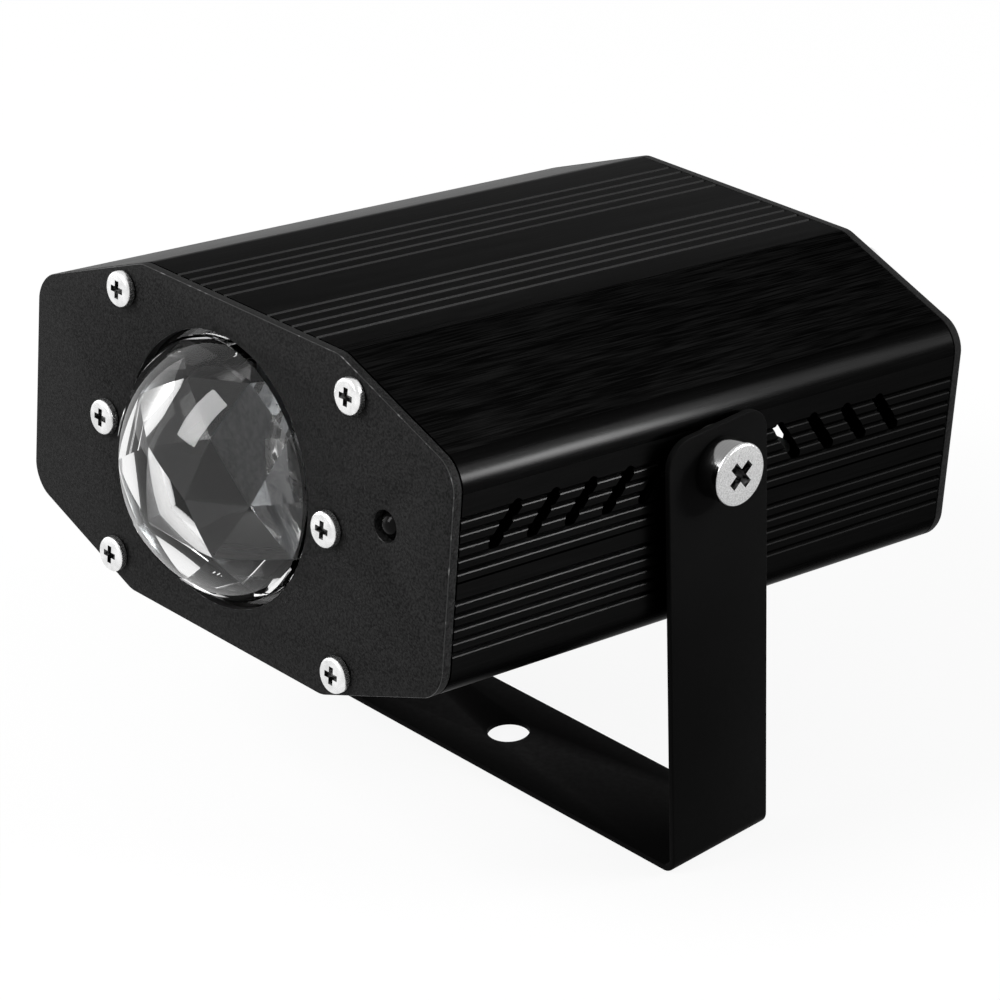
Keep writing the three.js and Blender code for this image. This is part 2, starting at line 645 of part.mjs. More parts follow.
// The strip bent up at both ends, cut round at the arms' tops.
function bracket() {
  const top = PIVOT_HEIGHT + BRACKET_TOP;
  const outer = BRACKET_BEND_RADIUS + BRACKET_THICKNESS;
  const low = at(ARM_OUTSIDE, 0);
  const bendOutside = roundCorner(at(0, 0), low, at(ARM_OUTSIDE, top), outer);
  const corner = at(ARM_INSIDE, BRACKET_THICKNESS);
  const bendInside = roundCorner(at(ARM_INSIDE, top), corner, at(0, BRACKET_THICKNESS), BRACKET_BEND_RADIUS);
  const half = [...bendOutside, at(ARM_OUTSIDE, top), at(ARM_INSIDE, top), ...bendInside];
  const strip = new THREE.Shape([...half, ...mirrored(half)]);
  const side = BRACKET_WIDTH / 2;
  const face = new THREE.Shape([
    at(-side, -OVERRUN), at(side, -OVERRUN),
    ...roundCorner(at(side, 0), at(side, top), at(0, top), BRACKET_CORNER_RADIUS),
    ...roundCorner(at(0, top), at(-side, top), at(-side, 0), BRACKET_CORNER_RADIUS),
  ]);
  const reach = ARM_OUTSIDE + OVERRUN;
  const bent = toSolid(alongY(strip, -side, side)).intersect(toSolid(alongX(face, -reach, reach)));
  return cut(toGeometry(bent), [
    rodX(PIVOT_HOLE_RADIUS, -reach, reach, 0, PIVOT_HEIGHT),
    rodZ(MOUNT_HOLE_RADIUS, -OVERRUN, BRACKET_THICKNESS + OVERRUN, MOUNT_HOLE_X, 0, MEDIUM),
  ]);
}

// The front lens: a smooth dome with a flange, hollowed behind by flat triangular facets.
function frontLens() {
  const profile = [
    [0, FLANGE_BACK], [LENS_FLANGE_RADIUS, FLANGE_BACK], [LENS_FLANGE_RADIUS, FLANGE_FRONT],
    [LENS_SKIRT_RADIUS, FLANGE_FRONT],
    ...roundNose(LENS_SKIRT_RADIUS, LENS_TIP, LENS_DOME_HEIGHT, DOME_STEPS),
  ];
  const turn = THREE.MathUtils.degToRad(LENS_CUT_TURN);
  const facets = new THREE.IcosahedronGeometry(LENS_CUT_RADIUS, 1).rotateY(turn).rotateX(turn);
  facets.translate(LENS_X, LENS_TIP + LENS_MIDDLE + LENS_CUT_RADIUS, 0);
  return cut(turned(profile, LENS_X, 0, FINE), [facets]);
}

function lensGasket() {
  const back = GASKET_FRONT + GASKET_THICKNESS;
  return ringY(LENS_FLANGE_RADIUS, GASKET_BORE_RADIUS, GASKET_FRONT, back, LENS_X, 0);
}

// The ring that clamps the lens, with a boss on each ear reaching forward to the plate.
function lensHolder() {
  const ears = lensScrewPlaces();
  const height = [-HOLDER_EAR_RADIUS, HOLDER_EAR_RADIUS];
  const solids = [rodY(HOLDER_RADIUS, HOLDER_FRONT, HOLDER_BACK, LENS_X, 0, MEDIUM)];
  solids.push(box(ears.map(([x]) => x), [HOLDER_FRONT, HOLDER_BACK], height));
  for (const [x, z] of ears) {
    solids.push(rodY(HOLDER_EAR_RADIUS, HOLDER_FRONT, HOLDER_BACK, x, z));
    solids.push(rodY(HOLDER_BOSS_RADIUS, FLANGE_FRONT, HOLDER_BACK, x, z));
  }
  const [from, to] = [FLANGE_FRONT - OVERRUN, HOLDER_BACK + OVERRUN];
  const holes = ears.map(([x, z]) => rodY(SCREW_HOLE_RADIUS, from, to, x, z));
  return cut(joined(solids), [...holes, rodY(HOLDER_BORE_RADIUS, from, to, LENS_X, 0, MEDIUM)]);
}

// The rippled disc: its front face rises and falls in rings.
function rippleDisc() {
  const steps = 2 * RIPPLE_RINGS;
  const span = DISC_RADIUS - DISC_BORE_RADIUS;
  const front = Array.from({ length: steps + 1 }, (_, i) => {
    const wave = RIPPLE_DEPTH * (1 - Math.cos(2 * Math.PI * RIPPLE_RINGS * i / steps)) / 2;
    return [DISC_BORE_RADIUS + span * i / steps, DISC_FRONT + wave];
  });
  const profile = [...front, [DISC_RADIUS, DISC_BACK], [DISC_BORE_RADIUS, DISC_BACK], front[0]];
  return turned(profile, DISC_X, 0, MEDIUM);
}

// The hub carries the disc against its flange and holds it with a clip in front.
function discHub() {
  const sleeve = DISC_BORE_RADIUS - SEAT_GAP;
  const bore = SHAFT_RADIUS + SEAT_GAP;
  const flange = DISC_BACK + SEAT_GAP;
  const front = DISC_FRONT - SEAT_GAP - CLIP_THICKNESS - SEAT_GAP;
  const profile = [
    [bore, front], [sleeve, front], [sleeve, flange], [HUB_RADIUS, flange],
    [HUB_RADIUS, flange + HUB_FLANGE_THICKNESS], [bore, flange + HUB_FLANGE_THICKNESS], [bore, front],
  ];
  return turned(profile, DISC_X, 0, COARSE);
}

function discClip() {
  const to = DISC_FRONT - SEAT_GAP;
  return ringY(CLIP_RADIUS, DISC_BORE_RADIUS, to - CLIP_THICKNESS, to, DISC_X, 0, COARSE);
}

function motorShaft() {
  const from = DISC_FRONT - 2 * SEAT_GAP - 2 * CLIP_THICKNESS;
  return rodY(SHAFT_RADIUS, from, MOTOR_FRONT + MOTOR_SHAFT_DEPTH, DISC_X, 0);
}

function motorScrewPlaces() {
  const turn = THREE.MathUtils.degToRad(MOTOR_SCREW_TURN);
  const [across, up] = [MOTOR_SCREW_OFFSET * Math.sin(turn), MOTOR_SCREW_OFFSET * Math.cos(turn)];
  return [[MOTOR_X - across, up], [MOTOR_X + across, -up]];
}

// The geared motor: a round can with a screwed plate and an offset nose round its shaft.
function discMotor() {
  const plateBack = MOTOR_FRONT + MOTOR_PLATE_THICKNESS;
  const back = MOTOR_FRONT + MOTOR_LENGTH;
  const can = turned([
    [0, back], [MOTOR_RADIUS - MOTOR_EDGE, back], [MOTOR_RADIUS, back - MOTOR_EDGE],
    [MOTOR_RADIUS, MOTOR_FRONT], [0, MOTOR_FRONT],
  ], MOTOR_X, 0);
  const reach = [-MOTOR_SCREW_OFFSET, MOTOR_SCREW_OFFSET];
  const plate = box([-MOTOR_EAR_RADIUS, MOTOR_EAR_RADIUS], [MOTOR_FRONT, plateBack], reach);
  plate.rotateY(-THREE.MathUtils.degToRad(MOTOR_SCREW_TURN)).translate(MOTOR_X, 0, 0);
  const solids = [can, plate];
  solids.push(rodY(MOTOR_NOSE_RADIUS, MOTOR_FRONT - MOTOR_NOSE_LENGTH, plateBack, DISC_X, 0));
  for (const [x, z] of motorScrewPlaces()) solids.push(rodY(MOTOR_EAR_RADIUS, MOTOR_FRONT, plateBack, x, z));
  const from = MOTOR_FRONT - MOTOR_NOSE_LENGTH - OVERRUN;
  const holes = motorScrewPlaces().map(([x, z]) => rodY(SCREW_HOLE_RADIUS, from, plateBack + OVERRUN, x, z));
  const bottom = MOTOR_FRONT + MOTOR_SHAFT_DEPTH + SEAT_GAP;
  return cut(joined(solids), [...holes, rodY(SHAFT_RADIUS + SEAT_GAP, from, bottom, DISC_X, 0)]);
}

// The folded sheet that carries the motor and the beam parts: a front wall and a floor.
function opticsFrame() {
  const [side, wing, height] = [FRAME_HALF_WIDTH, FRAME_WING, FRAME_WING_HEIGHT];
  const wall = new THREE.Shape([
    at(-side, FRAME_BOTTOM), at(side, FRAME_BOTTOM), at(side, -height), at(wing, -height),
    at(wing, height), at(-side, height),
  ]);
  const floor = box([-side, side], [FRAME_FRONT, SINK_BACK], [FRAME_BOTTOM, FRAME_FLOOR]);
  const [from, to] = [FRAME_FRONT - OVERRUN, FRAME_BACK + OVERRUN];
  const holes = motorScrewPlaces().map(([x, z]) => rodY(SCREW_HOLE_RADIUS, from, to, x, z));
  holes.push(rodY(MOTOR_NOSE_RADIUS + SEAT_GAP, from, to, DISC_X, 0));
  holes.push(rodY(BEAM_RADIUS, from, to, LENS_X, 0, MEDIUM));
  return cut(joined([alongY(wall, FRAME_FRONT, FRAME_BACK), floor]), holes);
}

function thermalPad() {
  const along = [SINK_BACK - PAD_LENGTH, SINK_BACK];
  return box([-PAD_HALF_WIDTH, PAD_HALF_WIDTH], along, [PAD_BOTTOM, PAD_BOTTOM + PAD_THICKNESS]);
}

function tubeScrewPlaces() {
  return [[LENS_X, TUBE_SCREW_OFFSET], [LENS_X, -TUBE_SCREW_OFFSET]];
}

// The beam tube: it holds the still glass in front and the condenser inside, and its
// flange clamps the LED board on the heat sink.
function condenserTube() {
  const flangeFront = TUBE_BACK - TUBE_FLANGE_THICKNESS;
  const solids = [rodY(TUBE_RADIUS, TUBE_FRONT, TUBE_BACK, LENS_X, 0, MEDIUM)];
  solids.push(rodY(TUBE_FLANGE_RADIUS, flangeFront, TUBE_BACK, LENS_X, 0, MEDIUM));
  for (const [x, z] of tubeScrewPlaces()) solids.push(rodY(TUBE_EAR_RADIUS, flangeFront, TUBE_BACK, x, z));
  const [from, to] = [TUBE_FRONT - OVERRUN, TUBE_BACK + OVERRUN];
  const holes = tubeScrewPlaces().map(([x, z]) => rodY(SCREW_HOLE_RADIUS, from, to, x, z));
  const glassSeat = TUBE_FRONT + 2 * SEAT_GAP + GLASS_THICKNESS;
  const boardSeat = TUBE_BACK - LED_BOARD_THICKNESS - SEAT_GAP;
  holes.push(rodY(TUBE_BORE_RADIUS, from, to, LENS_X, 0, MEDIUM));
  holes.push(rodY(GLASS_RADIUS + SEAT_GAP, from, glassSeat, LENS_X, 0, MEDIUM));
  holes.push(rodY(LED_BOARD_RADIUS + SEAT_GAP, boardSeat, to, LENS_X, 0, MEDIUM));
  return cut(joined(solids), holes);
}

function stillGlass() {
  const front = TUBE_FRONT + SEAT_GAP;
  const wave = front + RIPPLE_DEPTH;
  const profile = [
    [0, front], [GLASS_RADIUS / 3, wave], [GLASS_RADIUS * 2 / 3, front], [GLASS_RADIUS, wave],
    [GLASS_RADIUS, front + GLASS_THICKNESS], [0, front + GLASS_THICKNESS],
  ];
  return turned(profile, LENS_X, 0);
}

function condenserLens() {
  const radius = TUBE_BORE_RADIUS - SEAT_GAP;
  const back = TUBE_BACK - TUBE_FLANGE_THICKNESS - CONDENSER_BACK + CONDENSER_EDGE;
  const edge = back - CONDENSER_EDGE;
  const dome = roundNose(radius, edge - CONDENSER_DOME, CONDENSER_DOME);
  return turned([[0, back], [radius, back], ...dome], LENS_X, 0);
}

function ledBoard() {
  return rodY(LED_BOARD_RADIUS, TUBE_BACK - LED_BOARD_THICKNESS, TUBE_BACK, LENS_X, 0, MEDIUM);
}

// The LED package with its clear dome.
function ledEmitter() {
  const back = TUBE_BACK - LED_BOARD_THICKNESS - SEAT_GAP;
  const [half, front] = [LED_BASE / 2, back - LED_BASE_THICKNESS];
  const base = box([LENS_X - half, LENS_X + half], [front, back], [-half, half]);
  const nose = roundNose(LED_DOME_RADIUS, front - LED_DOME_RADIUS);
  const dome = turned([[0, back], [LED_DOME_RADIUS, back], ...nose], LENS_X, 0, COARSE);
  return joined([base, dome]);
}

// The heat sink: a base with upright fins, extruded upwards.
function heatSink() {
  const [left, right] = [LENS_X - SINK_WIDTH / 2, LENS_X + SINK_WIDTH / 2];
  const [root, back] = [SINK_FRONT + SINK_BASE, SINK_BACK];
  const pitch = (SINK_WIDTH - SINK_FIN_THICKNESS) / (SINK_FINS - 1);
  const comb = count(SINK_FINS, left, pitch).reverse().flatMap((x) => [
    at(x + SINK_FIN_THICKNESS, root), at(x + SINK_FIN_THICKNESS, back), at(x, back), at(x, root),
  ]);
  const shape = new THREE.Shape([at(left, SINK_FRONT), at(right, SINK_FRONT), ...comb.slice(1, -1)]);
  const bottom = FRAME_FLOOR + SEAT_GAP;
  const block = new THREE.ExtrudeGeometry(shape, { depth: SINK_TOP - bottom, bevelEnabled: false });
  const [from, to] = [SINK_FRONT - OVERRUN, root + OVERRUN];
  const holes = tubeScrewPlaces().map(([x, z]) => rodY(SCREW_HOLE_RADIUS, from, to, x, z));
  return cut(block.translate(0, 0, bottom), holes);
}

function controlBoard() {
  const half = INNER_WIDTH - SEAT_GAP;
  return box([-half, half], [BOARD_BACK - BOARD_LENGTH, BOARD_BACK], [BOARD_BOTTOM, BOARD_TOP]);
}

// Places on the control board as shares of its half width and of its length from the back.
const CAPACITOR_PLACE_SHARES = [-0.42, 0.5];
const COIL_PLACE_SHARES = [-0.08, 0.45];
const CHIP_PLACE_SHARES = [0.2, 0.62];
const PLUG_PLACE_SHARES = [-0.74, 0.74];

function onBoard([across, back]) {
  return [across * INNER_WIDTH, BOARD_BACK - back * BOARD_LENGTH];
}

function capacitor() {
  const [x, y] = onBoard(CAPACITOR_PLACE_SHARES);
  const bottom = BOARD_TOP + SEAT_GAP;
  return rodZ(CAPACITOR_RADIUS, bottom, bottom + CAPACITOR_HEIGHT, x, y);
}

function coil() {
  const [x, y] = onBoard(COIL_PLACE_SHARES);
  const bottom = BOARD_TOP + SEAT_GAP;
  const core = rodZ(COIL_RADIUS, bottom, bottom + COIL_HEIGHT, x, y);
  return cut(core, [rodZ(COIL_BORE_RADIUS, bottom - OVERRUN, bottom + COIL_HEIGHT + OVERRUN, x, y)]);
}

function onBoardBox(shares, width, depth, height) {
  const [x, y] = onBoard(shares);
  const bottom = BOARD_TOP + SEAT_GAP;
  return box([x - width / 2, x + width / 2], [y - depth / 2, y + depth / 2], [bottom, bottom + height]);
}

function controlChip() {
  return onBoardBox(CHIP_PLACE_SHARES, CHIP_SIZE, CHIP_SIZE, CHIP_THICKNESS);
}

function boardPlug() {
  return onBoardBox(PLUG_PLACE_SHARES, PLUG_WIDTH, PLUG_DEPTH, PLUG_HEIGHT);
}

// The infrared receiver: a rim behind the plate and a round nose in the window.
function irReceiver() {
  const nose = IR_HOLE_RADIUS - SEAT_GAP;
  const back = FLANGE_FRONT + IR_PAD_THICKNESS;
  return turned([
    [0, back], [IR_RIM_RADIUS, back], [IR_RIM_RADIUS, FLANGE_FRONT], [nose, FLANGE_FRONT],
    ...roundNose(nose, -PLATE_OUTSIDE),
  ], IR_X, IR_Z, COARSE);
}

function irBox(from, to) {
  const [wide, high] = [IR_BOARD_WIDTH / 2, IR_BOARD_HEIGHT / 2];
  return box([IR_X - wide, IR_X + wide], [from, to], [IR_Z - high, IR_Z + high]);
}

function irPad() {
  const to = FLANGE_FRONT + IR_PAD_THICKNESS;
  const hole = rodY(IR_RIM_RADIUS + SEAT_GAP, FLANGE_FRONT - OVERRUN, to + OVERRUN, IR_X, IR_Z);
  return cut(irBox(FLANGE_FRONT, to), [hole]);
}

function irBoard() {
  const from = FLANGE_FRONT + IR_PAD_THICKNESS + SEAT_GAP;
  return irBox(from, from + LED_BOARD_THICKNESS);
}

// The round power inlet with its centre pin.
function powerInlet() {
  const seat = PLATE_OUTSIDE + SEAT_GAP;
  const face = seat + INLET_FLANGE_THICKNESS;
  const floor = face - INLET_BORE_DEPTH;
  const back = PLATE_INSIDE - INLET_DEPTH;
  return turned([
    [0, back], [INLET_BARREL_RADIUS, back], [INLET_BARREL_RADIUS, seat], [INLET_FLANGE_RADIUS, seat],
    [INLET_FLANGE_RADIUS, face], [INLET_BORE_RADIUS, face], [INLET_BORE_RADIUS, floor],
    [INLET_PIN_RADIUS, floor], [INLET_PIN_RADIUS, floor + INLET_PIN_LENGTH], [0, floor + INLET_PIN_LENGTH],
  ], INLET_X, CONTROL_Z);
}

function inletNut() {
  const [from, bore] = [HALF_LENGTH - INLET_NUT_THICKNESS, INLET_BARREL_RADIUS + SEAT_GAP];
  return hexNut(INLET_NUT_RADIUS, bore, from, HALF_LENGTH, INLET_X, CONTROL_Z);
}

// The push switch: a barrel with a flange and a bore for the button.
function modeSwitch() {
  const seat = PLATE_OUTSIDE + SEAT_GAP;
  const face = seat + SWITCH_FLANGE_THICKNESS;
  const floor = face - SWITCH_BORE_DEPTH;
  const back = PLATE_INSIDE - SWITCH_DEPTH;
  return turned([
    [0, back], [SWITCH_BARREL_RADIUS, back], [SWITCH_BARREL_RADIUS, seat], [SWITCH_FLANGE_RADIUS, seat],
    [SWITCH_FLANGE_RADIUS, face], [SWITCH_BORE_RADIUS, face], [SWITCH_BORE_RADIUS, floor], [0, floor],
  ], BUTTON_X, CONTROL_Z, COARSE);
}

function switchNut() {
  const [from, bore] = [HALF_LENGTH - INLET_NUT_THICKNESS, SWITCH_BARREL_RADIUS + SEAT_GAP];
  return hexNut(SWITCH_NUT_RADIUS, bore, from, HALF_LENGTH, BUTTON_X, CONTROL_Z);
}

function modeButton() {
  const face = PLATE_OUTSIDE + SEAT_GAP + SWITCH_FLANGE_THICKNESS;
  const back = face - SWITCH_BORE_DEPTH + SEAT_GAP + BUTTON_TRAVEL;
  const front = face + BUTTON_STAND;
  return turned([
    [0, back], [BUTTON_RADIUS, back], [BUTTON_RADIUS, front - SEAT_GAP],
    [BUTTON_RADIUS - SEAT_GAP, front], [0, front],
  ], BUTTON_X, CONTROL_Z, COARSE);
}

function addPart(group, name, geometry, finishName) {
  const mesh = new THREE.Mesh(geometry, finish(finishName));
  mesh.name = name;
  group.add(mesh);
  return mesh;
}

// Screws in a row of places, with the underside of each head at a height along Y.
function addScrews(group, name, places, seat, length, facing = -1) {
  places.forEach(([x, z], i) => {
    const mesh = addPart(group, `${name}_${i + 1}`, screw(length), 'brightZinc');
    mesh.position.set(x, seat, z);
    if (facing > 0) mesh.rotation.z = Math.PI;
  });
}

function addPivots(housing) {
  for (const [side, word] of [[1, 'right'], [-1, 'left']]) {
    const places = {
      screw: ARM_OUTSIDE + SEAT_GAP,
      washer: HALF_WIDTH + SEAT_GAP + WASHER_THICKNESS,
      nut: INNER_WIDTH - SEAT_GAP,
    };
    const made = {
      screw: addPart(housing, `pivot_screw_${word}`, pivotScrew(), 'brightZinc'),
      washer: addPart(housing, `pivot_washer_${word}`, pivotWasher(), 'blackRubber'),
      nut: addPart(housing, `pivot_nut_${word}`, pivotNut(), 'brightZinc'),
    };
    for (const [piece, mesh] of Object.entries(made)) {
      mesh.position.set(side * places[piece], PIVOT_Y, PIVOT_Z);
      mesh.rotation.z = side * Math.PI / 2;
    }
  }
}

function addCasing(housing) {
  addPart(housing, 'top_shell', topShell(), 'blackAnodised');
  addPart(housing, 'bottom_shell', bottomShell(), 'blackAnodised');
  addPart(housing, 'front_plate', frontPlate(), 'blackPaint');
  addPart(housing, 'rear_plate', rearPlate(), 'blackPaint');
  addScrews(housing, 'front_plate_screw', portPlaces(), -PLATE_OUTSIDE - SEAT_GAP, SCREW_LENGTH);
  addScrews(housing, 'rear_plate_screw', portPlaces(), PLATE_OUTSIDE + SEAT_GAP, SCREW_LENGTH, 1);
  addScrews(housing, 'lens_screw', lensScrewPlaces(), -PLATE_OUTSIDE - SEAT_GAP, SCREW_LENGTH);
}

function addOptics(housing) {
  addPart(housing, 'front_lens', frontLens(), 'clearGlass');
  addPart(housing, 'lens_gasket', lensGasket(), 'blackRubber');
  addPart(housing, 'lens_holder', lensHolder(), 'blackPlastic');
  addPart(housing, 'ripple_disc', rippleDisc(), 'clearGlass');
  addPart(housing, 'disc_hub', discHub(), 'brassPart');
  addPart(housing, 'disc_clip', discClip(), 'blackPlastic');
  addPart(housing, 'motor_shaft', motorShaft(), 'darkSteel');
  addPart(housing, 'disc_motor', discMotor(), 'darkSteel');
  addScrews(housing, 'motor_screw', motorScrewPlaces(), FRAME_FRONT - SEAT_GAP, MOTOR_SCREW_LENGTH);
  addPart(housing, 'optics_frame', opticsFrame(), 'bareAluminium');
  addPart(housing, 'thermal_pad', thermalPad(), 'greyPad');
  addPart(housing, 'condenser_tube', condenserTube(), 'blackPlastic');
  addPart(housing, 'still_ripple_glass', stillGlass(), 'clearGlass');
  addPart(housing, 'condenser_lens', condenserLens(), 'clearGlass');
  addPart(housing, 'led_board', ledBoard(), 'bareAluminium');
  addPart(housing, 'led_emitter', ledEmitter(), 'clearGlass');
  const seat = TUBE_BACK - TUBE_FLANGE_THICKNESS - SEAT_GAP;
  addScrews(housing, 'tube_screw', tubeScrewPlaces(), seat, SCREW_LENGTH);
  addPart(housing, 'heat_sink', heatSink(), 'bareAluminium');
}

function addElectronics(housing) {
  addPart(housing, 'control_board', controlBoard(), 'greenBoard');
  addPart(housing, 'capacitor', capacitor(), 'blackPlastic');
  addPart(housing, 'driver_coil', coil(), 'copperWinding');
  addPart(housing, 'control_chip', controlChip(), 'blackPlastic');
  addPart(housing, 'board_plug', boardPlug(), 'blackPlastic');
  addPart(housing, 'ir_receiver', irReceiver(), 'blackPlastic');
  addPart(housing, 'ir_pad', irPad(), 'blackRubber');
  addPart(housing, 'ir_board', irBoard(), 'greenBoard');
  addPart(housing, 'power_inlet', powerInlet(), 'blackPlastic');
  addPart(housing, 'power_inlet_nut', inletNut(), 'brightZinc');
  addPart(housing, 'mode_switch', modeSwitch(), 'blackPlastic');
  addPart(housing, 'mode_switch_nut', switchNut(), 'brightZinc');
  addPart(housing, 'mode_button', modeButton(), 'blackPlastic');
}

function effectLight() {
  const light = new THREE.Group();
  addPart(light, 'bracket', bracket(), 'bracketPaint');
  const tilt = new THREE.Group();
  tilt.position.set(0, 0, PIVOT_HEIGHT);
  tilt.rotation.x = -THREE.MathUtils.degToRad(REST_TILT);
  const housing = new THREE.Group();
  housing.position.set(0, -PIVOT_Y, -PIVOT_Z);
  addPivots(housing);
  addCasing(housing);
  addOptics(housing);
  addElectronics(housing);
  tilt.add(housing);
  light.add(tilt);
  return light;
}

export default effectLight();
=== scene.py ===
# Looks of a small water wave effect light: a brushed black housing on a satin black bracket, with a
# cut domed lens among zinc plated screws. Pieces are modelled in millimetres, those of the housing
# in its own axes before it tilts, and are then set in the frame.
import math

import bmesh
import bpy
from mathutils import Matrix, Vector


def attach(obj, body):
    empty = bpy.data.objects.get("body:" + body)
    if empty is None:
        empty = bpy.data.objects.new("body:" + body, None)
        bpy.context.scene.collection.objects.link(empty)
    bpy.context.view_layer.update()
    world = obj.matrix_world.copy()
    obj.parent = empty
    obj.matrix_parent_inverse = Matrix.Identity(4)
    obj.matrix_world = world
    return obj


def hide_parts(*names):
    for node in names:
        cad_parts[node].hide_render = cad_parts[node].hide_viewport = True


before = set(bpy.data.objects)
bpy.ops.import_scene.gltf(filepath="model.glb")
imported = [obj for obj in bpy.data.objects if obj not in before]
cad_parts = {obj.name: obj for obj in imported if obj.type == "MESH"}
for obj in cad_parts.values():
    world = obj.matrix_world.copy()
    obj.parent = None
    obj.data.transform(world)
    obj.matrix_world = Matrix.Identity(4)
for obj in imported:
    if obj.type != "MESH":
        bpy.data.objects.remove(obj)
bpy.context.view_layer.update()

# Clearances; a cutter overruns what it cuts, and values within a touch of each other count as equal
SEAT_GAP = 0.3
OVERRUN = 2
TOUCH = 0.01

# A direction with nearly all of its length along an axis counts as facing that way
NEARLY = 0.9

# Sides of round pieces and steps of broken edges
FINE_SIDES = 96
ROUND_SIDES = 48
SHANK_SIDES = 24
EDGE_STEPS = 2
SOFT_EDGE_STEPS = 3

# Angles between faces, in degrees: flat ones are merged, those under the next three are smoothed
# over, and a sharp edge is rounded
FLAT_ANGLE = 1
FACET_ANGLE = 9
LIP_ANGLE = 20
ROUND_ANGLE = 35
SHARP_ANGLE = 50

# Housing and end plates; the largest face of a rim is in square millimetres
HALF_WIDTH = 46
HALF_HEIGHT = 25.3
HALF_LENGTH = 49
TOP_HALF_WIDTH = 21.8
CHAMFER_DROP = 9
SIDE_CORNER_RADIUS = 5
SIDE_CORNER_STEPS = 12
TOP_CORNER_RADIUS = 4
TOP_CORNER_STEPS = 5
WALL = 2
SEAM_HEIGHT = 0.1
GROOVE_WIDTH = 0.7
GROOVE_DEPTH = 0.5
LIP_EDGE = 0.1
LIP_STEPS = 1
SIDE_GROOVE_PITCH = 1.9
UPPER_GROOVE_START = 1.6
LOWER_GROOVE_START = 2.8
SIDE_GROOVES = 5
TOP_GROOVE_START = 4.8
TOP_GROOVE_PITCH = 2.6
TOP_GROOVES = 5
SLOTS_PER_GROUP = 5
SLOT_START = 9.9
SLOT_PITCH = 7
SLOT_HEIGHT = 6.8
SLOT_WIDTH = 2
SLOT_LENGTH = 8
SLOT_END_STEPS = 6
SLOT_LEAN = math.radians(39.5)
PLATE_THICKNESS = 1.5
PLATE_EDGE = 0.22
HOLE_EDGE = 0.15
LARGEST_RIM_FACE = 10
PORT_X = 25.303
PORT_Z = 20.594
IR_HOLE_RADIUS = 2.3
IR_X = 33
IR_Z = 4.2
VENT_RADIUS = 1.9
VENT_PITCH_X = 6
VENT_PITCH_Z = 5.4
VENT_COLUMNS = 5
VENT_ROWS = 3
VENT_Z = -10.6

# Screws, pivots and bracket
SCREW_HEAD_RADIUS = 2.65
SCREW_HEAD_HEIGHT = 1.2
SCREW_CROWN = 0.5
SCREW_CROWN_STEPS = 5
SCREW_SHANK_RADIUS = 1.3
SCREW_LENGTH = 8
RECESS_LENGTH = 3.6
RECESS_WIDTH = 1
RECESS_DEPTH = 1.1
RECESS_SEAT = 0.05
RECESS_END_LENGTH_SHARE = 0.6
RECESS_END_WIDTH_SHARE = 0.8
PIVOT_Y = -3
PIVOT_Z = 7.7
PIVOT_HEIGHT = 63.6
REST_TILT = math.radians(7.5)
PIVOT_SHANK_RADIUS = 2
PIVOT_SHANK_LENGTH = 8
PIVOT_HEAD_RADIUS = 4.65
PIVOT_HEAD_LENGTH = 4
PIVOT_HEAD_EDGE = 0.4
PIVOT_HEAD_STEPS = 4
PIVOT_RECESS_LENGTH = 5.6
PIVOT_RECESS_WIDTH = 1.5
PIVOT_RECESS_DEPTH = 2.2
PIVOT_RECESS_TURN = math.radians(45)
WASHER_RADIUS = 5.5
WASHER_THICKNESS = 1.1
WASHER_EDGE = 0.25
BRACKET_THICKNESS = 1
BRACKET_WIDTH = 19.4
BRACKET_BEND_RADIUS = 1.3
BRACKET_BEND_STEPS = 12
BRACKET_TOP = 6.3
BRACKET_CORNER_RADIUS = 4
BRACKET_CORNER_STEPS = 10
BRACKET_EDGE = 0.2
MOUNT_HOLE_RADIUS = 3.3
MOUNT_HOLE_X = 2.4

# Lens, window and rear controls; two divisions cut a ball into 80 triangles
LENS_X = -3.3
LENS_HOLE_RADIUS = 20.3
LENS_CLEARANCE = 1
LENS_DOME_HEIGHT = 12
LENS_FLANGE_RADIUS = 22.4
LENS_FLANGE_THICKNESS = 2
LENS_CUT_RADIUS = 16.4
LENS_CUT_DIVISIONS = 2
LENS_CUT_DEPTH = 7.5
LENS_CUT_TURN = math.radians(23)
LENS_SCREW_OFFSET = 25.1
IR_RIM_RADIUS = 2.9
IR_PAD_THICKNESS = 1.2
INLET_X = -30
BUTTON_X = 30
CONTROL_Z = 4
INLET_BARREL_RADIUS = 4.6
INLET_FLANGE_RADIUS = 6.2
INLET_FLANGE_THICKNESS = 1.4
INLET_DEPTH = 13
INLET_BORE_RADIUS = 3.1
INLET_BORE_DEPTH = 9.5
INLET_PIN_RADIUS = 1
INLET_PIN_LENGTH = 8
SWITCH_BARREL_RADIUS = 4.2
SWITCH_FLANGE_RADIUS = 5.6
SWITCH_FLANGE_THICKNESS = 1.2
SWITCH_DEPTH = 10
SWITCH_BORE_RADIUS = 3.3
SWITCH_BORE_DEPTH = 5
BUTTON_RADIUS = 3
BUTTON_TRAVEL = 1.5
BUTTON_STAND = 2.2
CONTROL_EDGE = 0.3

# Sockets of the mix node for colours
MIX_SHARE = 0
MIX_DARK = 6
MIX_LIGHT = 7
MIX_RESULT = 2

# Patterns: where a noise has most of its values, how much the broad lines of brushing count beside
# the fine ones, and how far a finish strays from its roughness
NOISE_SPAN = (0.3, 0.7)
BROAD_STREAK_SHARE = 0.4
MOULDED_SPREAD = 0.06
MACHINED_SPREAD = 0.08

# Camera, in millimetres from the frame's origin, and its lens and sensor
CAMERA_PLACE = (369.292, -324.033, 295.413)
CAMERA_TARGET = (4.686, -2.070, 43.013)
CAMERA_ROLL = math.radians(-2.033)
CAMERA_LENS = 131.89
CAMERA_SENSOR = 36

